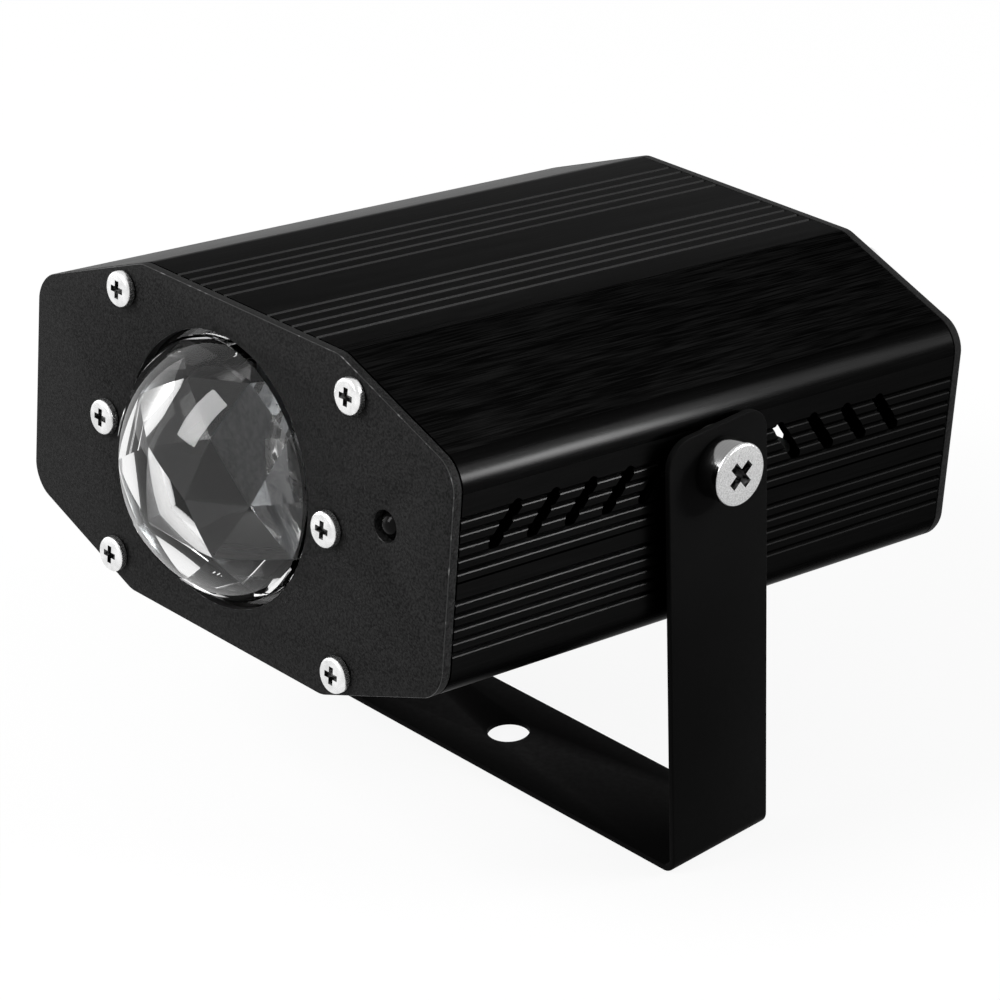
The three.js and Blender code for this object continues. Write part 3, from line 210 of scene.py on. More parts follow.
# Studio: places and sizes in metres, the open spread of a lamp in degrees
CAMERA_CLIP = 0.01
FLOOR_SIZE = 12
FLOOR_DROP = 0.0002
FLOOR_WHITE_SHARE = 0.9
WORLD_STRENGTH = 0.5
HOUSING_MIDDLE = (0, 0, 0.045)
SHOULDER_FRONT = (0.0474, -0.0302, 0.0647)
OPEN_SPREAD = 180

# Places that follow from the sizes
MILLIMETRE = 0.001
PLATE_INSIDE = HALF_LENGTH + SEAT_GAP
PLATE_OUTSIDE = PLATE_INSIDE + PLATE_THICKNESS
PLATE_SEAT = PLATE_OUTSIDE + SEAT_GAP
SHOULDER_Z = HALF_HEIGHT - CHAMFER_DROP
WASHER_OUTSIDE = HALF_WIDTH + SEAT_GAP + WASHER_THICKNESS
ARM_INSIDE = HALF_WIDTH + WASHER_THICKNESS + 2 * SEAT_GAP
ARM_OUTSIDE = ARM_INSIDE + BRACKET_THICKNESS
GROOVE_SLOPE = GROOVE_WIDTH / math.hypot(GROOVE_WIDTH, 2 * GROOVE_DEPTH)
CHAMFER_SLOPE = math.atan2(CHAMFER_DROP, HALF_WIDTH - TOP_HALF_WIDTH)
SIDE_CORNER_REACH = SIDE_CORNER_RADIUS * math.tan((math.pi / 2 - CHAMFER_SLOPE) / 2)
TOP_CORNER_REACH = TOP_CORNER_RADIUS * math.tan(CHAMFER_SLOPE / 2)
WALL_END = SHOULDER_Z - SIDE_CORNER_REACH
CORNER_END = HALF_WIDTH - SIDE_CORNER_RADIUS * (1 - math.sin(CHAMFER_SLOPE))
LIGHT_PLACE = Matrix.Scale(MILLIMETRE, 4)
HOUSING_PLACE = (
    LIGHT_PLACE
    @ Matrix.Translation((0, 0, PIVOT_HEIGHT))
    @ Matrix.Rotation(-REST_TILT, 4, "X")
    @ Matrix.Translation((0, -PIVOT_Y, -PIVOT_Z))
)


# Modelling
def clear_selection():
    for other in bpy.context.selected_objects:
        other.select_set(False)


def choose(piece):
    """Makes a piece the only one selected."""
    clear_selection()
    piece.select_set(True)
    bpy.context.view_layer.objects.active = piece


def new_piece(name):
    """Names the form just added, and moves its place and size into its mesh."""
    piece = bpy.context.active_object
    piece.name = name
    bpy.ops.object.transform_apply(location=True, rotation=True, scale=True)
    return piece


def block(name, low, high, turn=(0, 0, 0)):
    """A block between two corners, turned about its middle."""
    clear_selection()
    size = [b - a for a, b in zip(low, high)]
    middle = [(a + b) / 2 for a, b in zip(low, high)]
    bpy.ops.mesh.primitive_cube_add(size=1, location=middle, scale=size, rotation=turn)
    return new_piece(name)


def rod(name, radius, start, end, sides=ROUND_SIDES):
    """A round bar from one point to another."""
    clear_selection()
    start, end = Vector(start), Vector(end)
    along = end - start
    bpy.ops.mesh.primitive_cylinder_add(
        vertices=sides, radius=radius, depth=along.length, location=(start + end) / 2,
        rotation=along.to_track_quat("Z", "Y").to_euler(),
    )
    return new_piece(name)


def rod_y(name, radius, start, end, x=0, z=0, sides=ROUND_SIDES):
    """A round bar along Y."""
    return rod(name, radius, (x, start, z), (x, end, z), sides)


def groove_bar(x, z, across, up):
    """A bar of diamond section along the housing, which cuts a V groove."""
    clear_selection()
    bpy.ops.mesh.primitive_cylinder_add(
        vertices=4, radius=1, depth=2 * (HALF_LENGTH + OVERRUN), location=(x, 0, z),
        rotation=(math.pi / 2, 0, 0), scale=(across, up, 1),
    )
    return new_piece("groove_bar")


def start_edit(piece):
    choose(piece)
    bpy.ops.object.mode_set(mode="EDIT")


def end_edit():
    bpy.ops.object.mode_set(mode="OBJECT")


def near(a, b):
    return abs(a - b) < TOUCH


def both(end, pair=lambda a, b: True):
    """A test for an edge: each of its ends passes one test, and the two as a pair pass another."""
    return lambda a, b: end(a) and end(b) and pair(a, b)


def pick_faces(piece, test):
    """Selects the faces whose middle and direction pass a test."""
    bpy.ops.mesh.select_mode(type="FACE")
    bpy.ops.mesh.select_all(action="DESELECT")
    for face in bmesh.from_edit_mesh(piece.data).faces:
        if test(face.calc_center_median(), face.normal):
            face.select_set(True)
    bmesh.update_edit_mesh(piece.data)


def pick_edges(piece, test):
    """Selects the edges whose two ends pass a test."""
    bpy.ops.mesh.select_mode(type="EDGE")
    bpy.ops.mesh.select_all(action="DESELECT")
    for edge in bmesh.from_edit_mesh(piece.data).edges:
        if test(edge.verts[0].co, edge.verts[1].co):
            edge.select_set(True)
    bmesh.update_edit_mesh(piece.data)


def bevel(width, steps):
    bpy.ops.mesh.bevel(
        offset=width, offset_type="OFFSET", segments=steps, profile=0.5, affect="EDGES",
    )


def bevel_where(piece, test, width, steps=EDGE_STEPS):
    """Rounds the edges whose two ends pass a test."""
    start_edit(piece)
    pick_edges(piece, test)
    bevel(width, steps)
    end_edit()


def apply_modifier(piece, kind, **settings):
    change = piece.modifiers.new(kind.lower(), kind)
    for key, value in settings.items():
        setattr(change, key, value)
    choose(piece)
    bpy.ops.object.modifier_apply(modifier=change.name)


def joined(name, parts):
    """Several forms as one mesh."""
    clear_selection()
    for part in parts:
        part.select_set(True)
    bpy.context.view_layer.objects.active = parts[0]
    if len(parts) > 1:
        bpy.ops.object.join()
    parts[0].name = name
    return parts[0]


def carve(piece, tools, operation="DIFFERENCE"):
    """Cuts tools out of a piece, or unites them with it, and removes them."""
    tool = joined("tool", tools)
    apply_modifier(piece, "BOOLEAN", operation=operation, solver="EXACT", object=tool)
    bpy.data.objects.remove(tool)
    return piece


def copy_of(piece, name):
    twin = piece.copy()
    twin.data = piece.data.copy()
    twin.name = name
    bpy.context.collection.objects.link(twin)
    return twin


def smooth(piece, angle):
    choose(piece)
    bpy.ops.object.shade_smooth_by_angle(angle=math.radians(angle))


def seat(piece, node, body, finishes, place=HOUSING_PLACE, angle=ROUND_ANGLE):
    """Sets a finished piece in the frame, in place of the node that it stands for."""
    piece.data.transform(place)
    piece.name = f"{node}_finished"
    for finish in finishes:
        piece.data.materials.append(finish)
    smooth(piece, angle)
    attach(piece, body)
    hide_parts(node)
    return piece


# Finishes
def colour(code):
    """A colour written as sRGB hex, turned to linear."""
    channels = [int(code[i:i + 2], 16) / 255 for i in (1, 3, 5)]
    linear = [c / 12.92 if c <= 0.04045 else ((c + 0.055) / 1.055) ** 2.4 for c in channels]
    return (*linear, 1)


def grey(light):
    """A grey by its share of linear light."""
    return (light, light, light, 1)


def add(tree, kind, settings=None, sockets=None):
    """Adds a node; each socket takes a plain value, or the output that it is linked from."""
    made = tree.nodes.new(f"ShaderNode{kind}")
    for name, value in (settings or {}).items():
        setattr(made, name, value)
    for key, value in (sockets or {}).items():
        if isinstance(value, bpy.types.NodeSocket):
            tree.links.new(value, made.inputs[key])
        else:
            made.inputs[key].default_value = value
    return made


def per_metre(millimetres):
    """The scale of a pattern whose features are that many millimetres across."""
    return 1 / (millimetres * MILLIMETRE)


def new_finish(name):
    """A material, its tree and the piece's own coordinates."""
    material = bpy.data.materials.new(name)
    material.use_nodes = True
    material.node_tree.nodes.clear()
    return material, material.node_tree, add(material.node_tree, "TexCoord").outputs["Object"]


def dress(tree, tone_by, span, tones, grain, roughness, relief, sockets):
    """Finishes a surface: one pattern takes its tone from dark to light over a span of its values,
    and another, the grain, shifts its roughness and raises it by a relief in millimetres."""
    share = add(tree, "MapRange", {}, {"Value": tone_by, "From Min": span[0], "From Max": span[1]})
    dark, light = (colour(tone) for tone in tones)
    tone = add(tree, "Mix", {"data_type": "RGBA"}, {
        MIX_SHARE: share.outputs[0], MIX_DARK: dark, MIX_LIGHT: light,
    })
    rough = add(tree, "MapRange", {}, {
        "Value": grain, "From Min": NOISE_SPAN[0], "From Max": NOISE_SPAN[1],
        "To Min": roughness[0], "To Max": roughness[1],
    })
    raised = add(tree, "Bump", {}, {"Height": grain, "Distance": relief * MILLIMETRE})
    surface = add(tree, "BsdfPrincipled", {}, {
        "Base Color": tone.outputs[MIX_RESULT], "Roughness": rough.outputs[0],
        "Normal": raised.outputs[0], **sockets,
    })
    add(tree, "OutputMaterial", {}, {"Surface": surface.outputs[0]})


def streaks(tree, place, width, length):
    """Fine lines along the housing, as brushing leaves them."""
    turned = add(tree, "Mapping", {"vector_type": "TEXTURE"}, {
        "Vector": place, "Rotation": (-REST_TILT, 0, 0),
    })
    stretched = add(tree, "Mapping", {}, {
        "Vector": turned.outputs[0],
        "Scale": (per_metre(width), per_metre(length), per_metre(width)),
    })
    return add(tree, "TexNoise", {}, {
        "Vector": stretched.outputs[0], "Scale": 1.0, "Detail": 3.0,
    }).outputs[0]


def black_anodised_aluminium(name, tones, relief, roughness=(0.3, 0.4)):
    """Anodised black over brushing along the housing: a soft metallic sheen, with fine lines rubbed
    lighter."""
    material, tree, place = new_finish(name)
    fine = streaks(tree, place, 0.16, 8)
    broad = streaks(tree, place, 1.4, 30)
    brushing = add(tree, "Math", {"operation": "MULTIPLY_ADD"}, {
        0: broad, 1: BROAD_STREAK_SHARE, 2: fine,
    }).outputs[0]
    dress(
        tree, tone_by=brushing, span=(0.6, 0.9), tones=tones, grain=fine, roughness=roughness,
        relief=relief, sockets={"Metallic": 1.0, "Specular Tint": grey(0.45)},
    )
    return material


def black_powder_coat():
    """Powder coat on sheet, sprayed and baked: dead matte, with a pebbled skin and no streaks."""
    material, tree, place = new_finish("black_powder_coat")
    pebble = add(tree, "TexNoise", {}, {
        "Vector": place, "Scale": per_metre(0.35), "Detail": 2.0,
    }).outputs[0]
    dress(
        tree, tone_by=pebble, span=(0.35, 0.65), tones=("#050505", "#1e1e1e"), grain=pebble,
        roughness=(0.55, 0.72), relief=0.05, sockets={"Specular IOR Level": 0.07},
    )
    return material


def worn_and_highlit_plate_edge():
    """The sheet's cut edge: paler, a painted highlight, and rubbed to dull metal in small spots."""
    material, tree, place = new_finish("worn_and_highlit_plate_edge")
    wear_and_highlight = add(tree, "TexNoise", {}, {
        "Vector": place, "Scale": per_metre(1.2), "Detail": 4.0,
    }).outputs[0]
    dress(
        tree, tone_by=wear_and_highlight, span=(0.55, 0.72), tones=("#1c1c1c", "#6c6c6c"), grain=wear_and_highlight,
        roughness=(0.42, 0.48), relief=0.01, sockets={"Metallic": 0.5},
    )
    return material


def satin_bracket_paint():
    """Sprayed satin black on bent sheet: deep and even, with a faint orange peel."""
    material, tree, place = new_finish("satin_bracket_paint")
    peel = add(tree, "TexNoise", {}, {
        "Vector": place, "Scale": per_metre(0.8), "Detail": 1.0,
    }).outputs[0]
    cloud = add(tree, "TexNoise", {}, {
        "Vector": place, "Scale": per_metre(18), "Detail": 3.0,
    }).outputs[0]
    dress(
        tree, tone_by=cloud, span=NOISE_SPAN, tones=("#080808", "#0a0a0a"), grain=peel,
        roughness=(0.42, 0.52), relief=0.008, sockets={"Specular IOR Level": 0.01},
    )
    return material


def bright_zinc_plate():
    """Bright zinc on steel: pale and lively, with fine turning marks and small stains."""
    material, tree, place = new_finish("bright_zinc_plate")
    marks = add(tree, "TexNoise", {}, {
        "Vector": place, "Scale": per_metre(0.25), "Detail": 3.0,
    }).outputs[0]
    stain = add(tree, "TexNoise", {}, {
        "Vector": place, "Scale": per_metre(1.6), "Detail": 4.0,
    }).outputs[0]
    dress(
        tree, tone_by=stain, span=(0.35, 0.65), tones=("#dadada", "#f4f4f4"), grain=marks,
        roughness=(0.18, 0.34), relief=0.003, sockets={"Metallic": 1.0},
    )
    return material


def satin_nickel():
    """Nickel on the faced end of the pivot screws: even, finely grained and a little greyer than
    the zinc."""
    material, tree, place = new_finish("satin_nickel")
    grain = add(tree, "TexNoise", {}, {
        "Vector": place, "Scale": per_metre(0.16), "Detail": 2.0,
    }).outputs[0]
    dress(
        tree, tone_by=grain, span=(0.35, 0.65), tones=("#a8a8a8", "#d2d2d2"), grain=grain,
        roughness=(0.27, 0.33), relief=0.002, sockets={"Metallic": 1.0},
    )
    return material


def polished_steel_darkened():
    """A turned and polished cylinder: a near mirror, its colour darkened as a painted dark
    reflection, with faint rings of the tool.
    """
    material, tree, place = new_finish("polished_steel_darkened")
    rings = add(tree, "TexWave", {"bands_direction": "X"}, {
        "Vector": place, "Scale": per_metre(0.25) / math.tau, "Distortion": 1.5,
    }).outputs["Fac"]
    dress(
        tree, tone_by=rings, span=(0, 1), tones=("#828282", "#868686"), grain=rings,
        roughness=(0.11, 0.13), relief=0.0002, sockets={"Metallic": 1.0},
    )
    return material


def recess_painted_shade():
    """The sunk cross of a screw: zinc darkened as painted shade, with some bright spots left."""
    material, tree, place = new_finish("recess_painted_shade")
    patchy_shade = add(tree, "TexNoise", {}, {
        "Vector": place, "Scale": per_metre(0.9), "Detail": 3.0,
    }).outputs[0]
    dress(
        tree, tone_by=patchy_shade, span=(0.48, 0.66), tones=("#141414", "#9a9a9a"), grain=patchy_shade,
        roughness=(0.35, 0.45), relief=0.05, sockets={"Metallic": 0.8},
    )
    return material


def clear_acrylic():
    """Polished clear acrylic: sharp reflections and a slight unevenness of the moulding."""
    material, tree, place = new_finish("clear_acrylic")
    flow = add(tree, "TexNoise", {}, {
        "Vector": place, "Scale": per_metre(9), "Detail": 1.0,
    }).outputs[0]
    dress(
        tree, tone_by=flow, span=NOISE_SPAN, tones=("#f4f4f4", "#f8f8f8"), grain=flow,
        roughness=(0.0, 0.02), relief=0.02,
        sockets={"Specular Tint": grey(0.6), "Transmission Weight": 1.0, "IOR": 1.49},
    )
    return material


def rippled_glass():
    """Pressed glass: clear, with a watery relief that bends what is seen through it."""
    material, tree, place = new_finish("rippled_glass")
    wave = add(tree, "TexNoise", {}, {
        "Vector": place, "Scale": per_metre(3.5), "Detail": 2.0,
    }).outputs[0]
    dress(
        tree, tone_by=wave, span=NOISE_SPAN, tones=("#eeeeee", "#f2f2f2"), grain=wave,
        roughness=(0.02, 0.04), relief=0.3,
        sockets={"Specular Tint": grey(0.3), "Transmission Weight": 1.0, "IOR": 1.5},
    )
    return material


def moulded(name, tones, roughness, grain, level):
    """A moulded or cast piece: slightly uneven colour and a grain of that many millimetres."""
    material, tree, place = new_finish(name)
    skin = add(tree, "TexNoise", {}, {
        "Vector": place, "Scale": per_metre(grain), "Detail": 2.0,
    }).outputs[0]
    cloud = add(tree, "TexNoise", {}, {
        "Vector": place, "Scale": per_metre(6), "Detail": 3.0,
    }).outputs[0]
    dress(
        tree, tone_by=cloud, span=NOISE_SPAN, tones=tones, grain=skin,
        roughness=(roughness - MOULDED_SPREAD, roughness + MOULDED_SPREAD), relief=0.01,
        sockets={"Specular IOR Level": level},
    )
    return material


def machined(name, tones, roughness):
    """A bare metal piece with short cutting marks."""
    material, tree, place = new_finish(name)
    marks = streaks(tree, place, 0.2, 5)
    dress(
        tree, tone_by=marks, span=NOISE_SPAN, tones=tones, grain=marks,
        roughness=(roughness - MACHINED_SPREAD, roughness + MACHINED_SPREAD), relief=0.01,
        sockets={"Metallic": 1.0},
    )
    return material


def wound_copper():
    """Enamelled copper wire in close turns: reddish rings with dark gaps."""
    material, tree, place = new_finish("wound_copper")
    turns = add(tree, "TexWave", {"bands_direction": "Z"}, {
        "Vector": place, "Scale": per_metre(0.5) / math.tau,
    }).outputs["Fac"]
    dress(
        tree, tone_by=turns, span=(0, 1), tones=("#5a2c12", "#b06a38"), grain=turns,
        roughness=(0.3, 0.4), relief=0.1, sockets={"Metallic": 1.0},
    )
    return material


# The extrusion's top, bottom and slopes: black with the brushing still to be seen.
BRUSHED = black_anodised_aluminium(
    "brushed_black_anodised_aluminium", ("#0a0a0a", "#1b1b1b"), 0.002,
)

# Its side walls: the same black, but almost without lines.
ANODISED = black_anodised_aluminium("black_anodised_aluminium", ("#101010", "#131313"), 0.001)

# The flanks of its top grooves: a shade paler, a painted highlight along each groove.
GROOVE_HIGHLIGHT_TONE = black_anodised_aluminium("groove_painted_highlight", ("#141414", "#1a1a1a"), 0)

# Its upper long corners, rubbed by handling: smoother, with a narrow bright line of light.
BURNISHED = black_anodised_aluminium(
    "burnished_black_corner", ("#0b0b0b", "#0e0e0e"), 0.001, (0.22, 0.28),
)

POWDER = black_powder_coat()
# The plates' broken rims: a painted highlight, with rubbed spots of bare metal.
WORN_AND_HIGHLIT_EDGE = worn_and_highlit_plate_edge()
BRACKET_PAINT = satin_bracket_paint()
ZINC = bright_zinc_plate()
NICKEL = satin_nickel()
# The pivot heads' polished sides: darkened, a painted dark reflection.
POLISHED_DARKENED = polished_steel_darkened()
# The sunk crosses of the screws: a painted shade over the zinc, with bright spots.
RECESS_PAINTED_SHADE = recess_painted_shade()
ACRYLIC = clear_acrylic()
RIPPLED = rippled_glass()
COPPER = wound_copper()

# Moulded ABS: half matte, with soft broad highlights.
BLACK_ABS = moulded("black_abs", ("#111112", "#18181a"), 0.5, 0.3, 0.4)

# Moulded dark acrylic: glossy and almost black, with one small highlight.
GLOSS_WINDOW = moulded("infrared_window", ("#050505", "#080808"), 0.14, 2.0, 0.06)

# Moulded nitrile rubber: dull black that swallows highlights.
RUBBER = moulded("black_rubber", ("#0d0d0d", "#151515"), 0.82, 0.5, 0.25)

# Cast silicone pad: flat mid grey with a powdery skin.
GREY_PAD = moulded("heat_pad", ("#7f8285", "#94979a"), 0.85, 0.4, 0.4)

# Solder mask over glass fibre board: a smooth green lacquer.
SOLDER_MASK = moulded("green_solder_mask", ("#143a20", "#1f5230"), 0.35, 0.4, 0.4)

# Milled and folded aluminium: pale and silky, with short bright marks.
ALUMINIUM = machined("bare_aluminium", ("#a6a9ac", "#c4c7c9"), 0.38)

# Ground steel: darker than the aluminium, with the same short marks.
STEEL = machined("dark_steel", ("#3a3c3f", "#55585b"), 0.35)

# Turned brass: warm yellow with fine bright lines.
BRASS = machined("turned_brass", ("#a5803a", "#c8a55c"), 0.3)

# Pieces with more than one finish; each of their faces takes one by its place in the list
SHELL_FINISHES = [BRUSHED, ANODISED, GROOVE_HIGHLIGHT_TONE, BURNISHED]
PLATE_FINISHES = [POWDER, WORN_AND_HIGHLIT_EDGE]
SCREW_FINISHES = [ZINC, RECESS_PAINTED_SHADE]
PIVOT_FINISHES = [NICKEL, RECESS_PAINTED_SHADE, POLISHED_DARKENED]


# Housing
def octagon(name, front, back):
    """The housing's outline as a solid, with drawn in top and bottom and round long corners."""
    piece = block(name, (-HALF_WIDTH, front, -SHOULDER_Z), (HALF_WIDTH, back, SHOULDER_Z))
    start_edit(piece)
    for side in (1, -1):
        pick_faces(piece, lambda middle, normal: normal.z * side > NEARLY)
        bpy.ops.mesh.extrude_region_move(
            TRANSFORM_OT_translate={"value": (0, 0, side * CHAMFER_DROP)},
        )
        bpy.ops.transform.resize(value=(TOP_HALF_WIDTH / HALF_WIDTH, 1, 1))
    bpy.ops.mesh.select_all(action="SELECT")
    bpy.ops.mesh.dissolve_limited(angle_limit=math.radians(FLAT_ANGLE))
    for x, z, reach, steps in (
        (HALF_WIDTH, SHOULDER_Z, SIDE_CORNER_REACH, SIDE_CORNER_STEPS),
        (TOP_HALF_WIDTH, HALF_HEIGHT, TOP_CORNER_REACH, TOP_CORNER_STEPS),
    ):
        at_corner = lambda p: near(abs(p.x), x) and near(abs(p.z), z)
        pick_edges(piece, both(at_corner, lambda a, b: not near(a.y, b.y)))
        bevel(reach, steps)
    end_edit()
    return piece


def groove_bars():
    """Cutters for all grooves: above and below the seam on both walls, and along top and bottom."""
    bars = []
    half = GROOVE_WIDTH / 2
    for side in (-1, 1):
        for i in range(SIDE_GROOVES):
            upper = UPPER_GROOVE_START + i * SIDE_GROOVE_PITCH
            lower = LOWER_GROOVE_START + i * SIDE_GROOVE_PITCH
            bars.append(groove_bar(side * HALF_WIDTH, upper, GROOVE_DEPTH, half))
            bars.append(groove_bar(side * HALF_WIDTH, -lower, GROOVE_DEPTH, half))
        for i in range(TOP_GROOVES):
            across = side * (TOP_GROOVE_START + i * TOP_GROOVE_PITCH)
            bars.append(groove_bar(across, HALF_HEIGHT, half, GROOVE_DEPTH))
            bars.append(groove_bar(across, -HALF_HEIGHT, half, GROOVE_DEPTH))
    return bars


def sleeve():
    """The grooved extrusion before it is parted at its seam."""
    piece = octagon("sleeve", -HALF_LENGTH, HALF_LENGTH)
    start_edit(piece)
    pick_faces(piece, lambda middle, normal: abs(normal.y) > NEARLY)
    bpy.ops.mesh.delete(type="FACE")
    end_edit()
    apply_modifier(piece, "SOLIDIFY", thickness=WALL, offset=-1, use_even_offset=True)
    carve(piece, groove_bars())
    wall_reach = SHOULDER_Z - SIDE_CORNER_RADIUS
    on_wall = lambda p: near(abs(p.x), HALF_WIDTH) and abs(p.z) < wall_reach
    bevel_where(piece, both(on_wall, lambda a, b: near(a.z, b.z)), LIP_EDGE, LIP_STEPS)
    return piece


def half_sleeve(whole, name, height, up):
    """One side of the seam, closed along its cut."""
    piece = copy_of(whole, name)
    start_edit(piece)
    bpy.ops.mesh.select_all(action="SELECT")
    bpy.ops.mesh.bisect(
        plane_co=(0, 0, height), plane_no=(0, 0, 1), use_fill=True, clear_inner=up,
        clear_outer=not up,
    )
    end_edit()
    return piece


def vent_slot(y, lean):
    """A slot cutter with round ends, right through both side walls."""
    reach = HALF_WIDTH + OVERRUN
    low = (-reach, y - SLOT_WIDTH / 2, SLOT_HEIGHT - SLOT_LENGTH / 2)
    high = (reach, y + SLOT_WIDTH / 2, SLOT_HEIGHT + SLOT_LENGTH / 2)
    piece = block("vent_slot", low, high, (lean, 0, 0))
    runs_across = lambda a, b: not near(a.x, b.x)
    bevel_where(piece, runs_across, SLOT_WIDTH / 2 - TOUCH, SLOT_END_STEPS)
    return piece


def shell_finish(face):
    """Brushed, but smoother on the walls, in the top grooves and on the upper corners; the flanks
    of the top grooves are a shade paler, a painted highlight.
    """
    across = abs(face.center.x)
    if across > CORNER_END and face.center.z > WALL_END:
        return BURNISHED
    if across > HALF_WIDTH - WALL - TOUCH:
        return ANODISED
    if across < TOP_HALF_WIDTH and abs(face.normal.x) > GROOVE_SLOPE:
        return GROOVE_HIGHLIGHT_TONE
    return BRUSHED


def seat_shell(piece, node):
    """Sets a shell in the frame, with its faces told apart while they are in the housing's axes."""
    finishes = [shell_finish(face) for face in piece.data.polygons]
    seat(piece, node, "housing", SHELL_FINISHES, angle=LIP_ANGLE)
    for face, finish in zip(piece.data.polygons, finishes):
        face.material_index = SHELL_FINISHES.index(finish)


def shells():
    """The upper shell with its vent slots, and the lower one, from the same extrusion."""
    whole = sleeve()
    upper = half_sleeve(whole, "upper", SEAM_HEIGHT + SEAT_GAP / 2, True)
    slots = [
        vent_slot(PIVOT_Y + end * (SLOT_START + i * SLOT_PITCH), end * SLOT_LEAN)
        for end in (-1, 1) for i in range(SLOTS_PER_GROUP)
    ]
    carve(upper, slots)
    seat_shell(upper, "top_shell")
    lower = half_sleeve(whole, "lower", SEAM_HEIGHT - SEAT_GAP / 2, False)
    seat_shell(lower, "bottom_shell")
    bpy.data.objects.remove(whole)


# End plates
def end_plate(node, facing, holes):
    """A plate with its rim broken on the outside and its holes cut; holes are radius, x and z."""
    outside = facing * PLATE_OUTSIDE
    front, back = sorted((facing * PLATE_INSIDE, outside))
    piece = octagon("plate", front, back)
    on_face = lambda p: near(p.y, outside)
    bevel_where(piece, both(on_face), PLATE_EDGE)
    tools = [
        rod_y("hole", radius, front - OVERRUN, back + OVERRUN, x, z, FINE_SIDES)
        for radius, x, z in holes
    ]
    carve(piece, tools)
    for radius, x, z in holes:
        on_rim = lambda p: on_face(p) and near(math.hypot(p.x - x, p.z - z), radius)
        bevel_where(piece, both(on_rim), HOLE_EDGE)
    seat(piece, node, "housing", PLATE_FINISHES)
    to_housing = HOUSING_PLACE.to_3x3().normalized().inverted()
    # The small slanting faces of the rim take the paler edge, a painted highlight.
    for face in piece.data.polygons:
        slants = TOUCH < abs((to_housing @ face.normal).y) < NEARLY
        small = face.area < LARGEST_RIM_FACE * MILLIMETRE ** 2
        face.material_index = PLATE_FINISHES.index(WORN_AND_HIGHLIT_EDGE if slants and small else POWDER)


def end_plates():
    end_plate("front_plate", -1, [(LENS_HOLE_RADIUS, LENS_X, 0), (IR_HOLE_RADIUS, IR_X, IR_Z)])
    controls = [
        (INLET_BARREL_RADIUS + SEAT_GAP, INLET_X, CONTROL_Z),
        (SWITCH_BARREL_RADIUS + SEAT_GAP, BUTTON_X, CONTROL_Z),
    ]
    first_x = -VENT_PITCH_X * (VENT_COLUMNS - 1) / 2
    first_z = VENT_Z - VENT_PITCH_Z * (VENT_ROWS - 1) / 2
    vents = [
        (VENT_RADIUS, first_x + i * VENT_PITCH_X, first_z + k * VENT_PITCH_Z)
        for i in range(VENT_COLUMNS) for k in range(VENT_ROWS)
    ]
    end_plate("rear_plate", 1, controls + vents)


# Fasteners
def cross_recess(length, width, depth, face):
    """A cross shaped cutter that narrows towards its bottom, let into a face from -Y."""
    long_way = (length, RECESS_END_LENGTH_SHARE)
    wide_way = (width, RECESS_END_WIDTH_SHARE)
    bars = []
    for (x, x_share), (z, z_share) in ((long_way, wide_way), (wide_way, long_way)):
        bar = block("bar", (-x / 2, face - OVERRUN, -z / 2), (x / 2, face + depth, z / 2))
        start_edit(bar)
        pick_faces(bar, lambda middle, normal: normal.y > NEARLY)
        bpy.ops.transform.resize(value=(x_share, 1, z_share))
        end_edit()
        bars.append(bar)
    return bars


def screw_head(radius, height, sides, edge, steps, recess):
    """A head along Y that ends at zero, with the edge of its top rounded and a cross sunk in it."""
    piece = rod_y("head", radius, -height, 0, sides=sides)
    bevel_where(piece, both(lambda p: near(p.y, -height)), edge, steps)
    for bar in cross_recess(*recess, -height):
        carve(piece, [bar])
    return piece


def paint_recess_shade(piece, top, reach):
    """Gives the faces sunk below a screw's top, within reach of its cross, the second finish, a
    painted shade.
    """
    for face in piece.data.polygons:
        across = math.hypot(face.center.x, face.center.z)
        sunk = top + TOUCH < face.center.y < -SEAT_GAP / 2
        face.material_index = int(sunk and across < reach)


def pan_screw():
    """A pan head screw along +Y with the underside of its head at zero."""
    piece = screw_head(
        SCREW_HEAD_RADIUS, SCREW_HEAD_HEIGHT, ROUND_SIDES, SCREW_CROWN, SCREW_CROWN_STEPS,
        (RECESS_LENGTH, RECESS_WIDTH, RECESS_DEPTH),
    )
    shank = rod_y("shank", SCREW_SHANK_RADIUS, -RECESS_SEAT, SCREW_LENGTH, sides=SHANK_SIDES)
    carve(piece, [shank], "UNION")
    paint_recess_shade(piece, -SCREW_HEAD_HEIGHT, RECESS_LENGTH / 2)
    return piece


def seat_screws(model, node, places, y, turn=0):
    """Sets a numbered copy of a screw in each place on a plate."""
    for i, (x, z) in enumerate(places):
        place = HOUSING_PLACE @ Matrix.Translation((x, y, z)) @ Matrix.Rotation(turn, 4, "Z")
        piece = copy_of(model, "screw")
        seat(piece, f"{node}_{i + 1}", "housing", SCREW_FINISHES, place)


def small_screws():
    model = pan_screw()
    ports = [(-PORT_X, PORT_Z), (PORT_X, PORT_Z), (-PORT_X, -PORT_Z), (PORT_X, -PORT_Z)]
    beside_lens = [(LENS_X - LENS_SCREW_OFFSET, 0), (LENS_X + LENS_SCREW_OFFSET, 0)]
    seat_screws(model, "front_plate_screw", ports, -PLATE_SEAT)
    seat_screws(model, "rear_plate_screw", ports, PLATE_SEAT, math.pi)
    seat_screws(model, "lens_screw", beside_lens, -PLATE_SEAT)
    bpy.data.objects.remove(model)


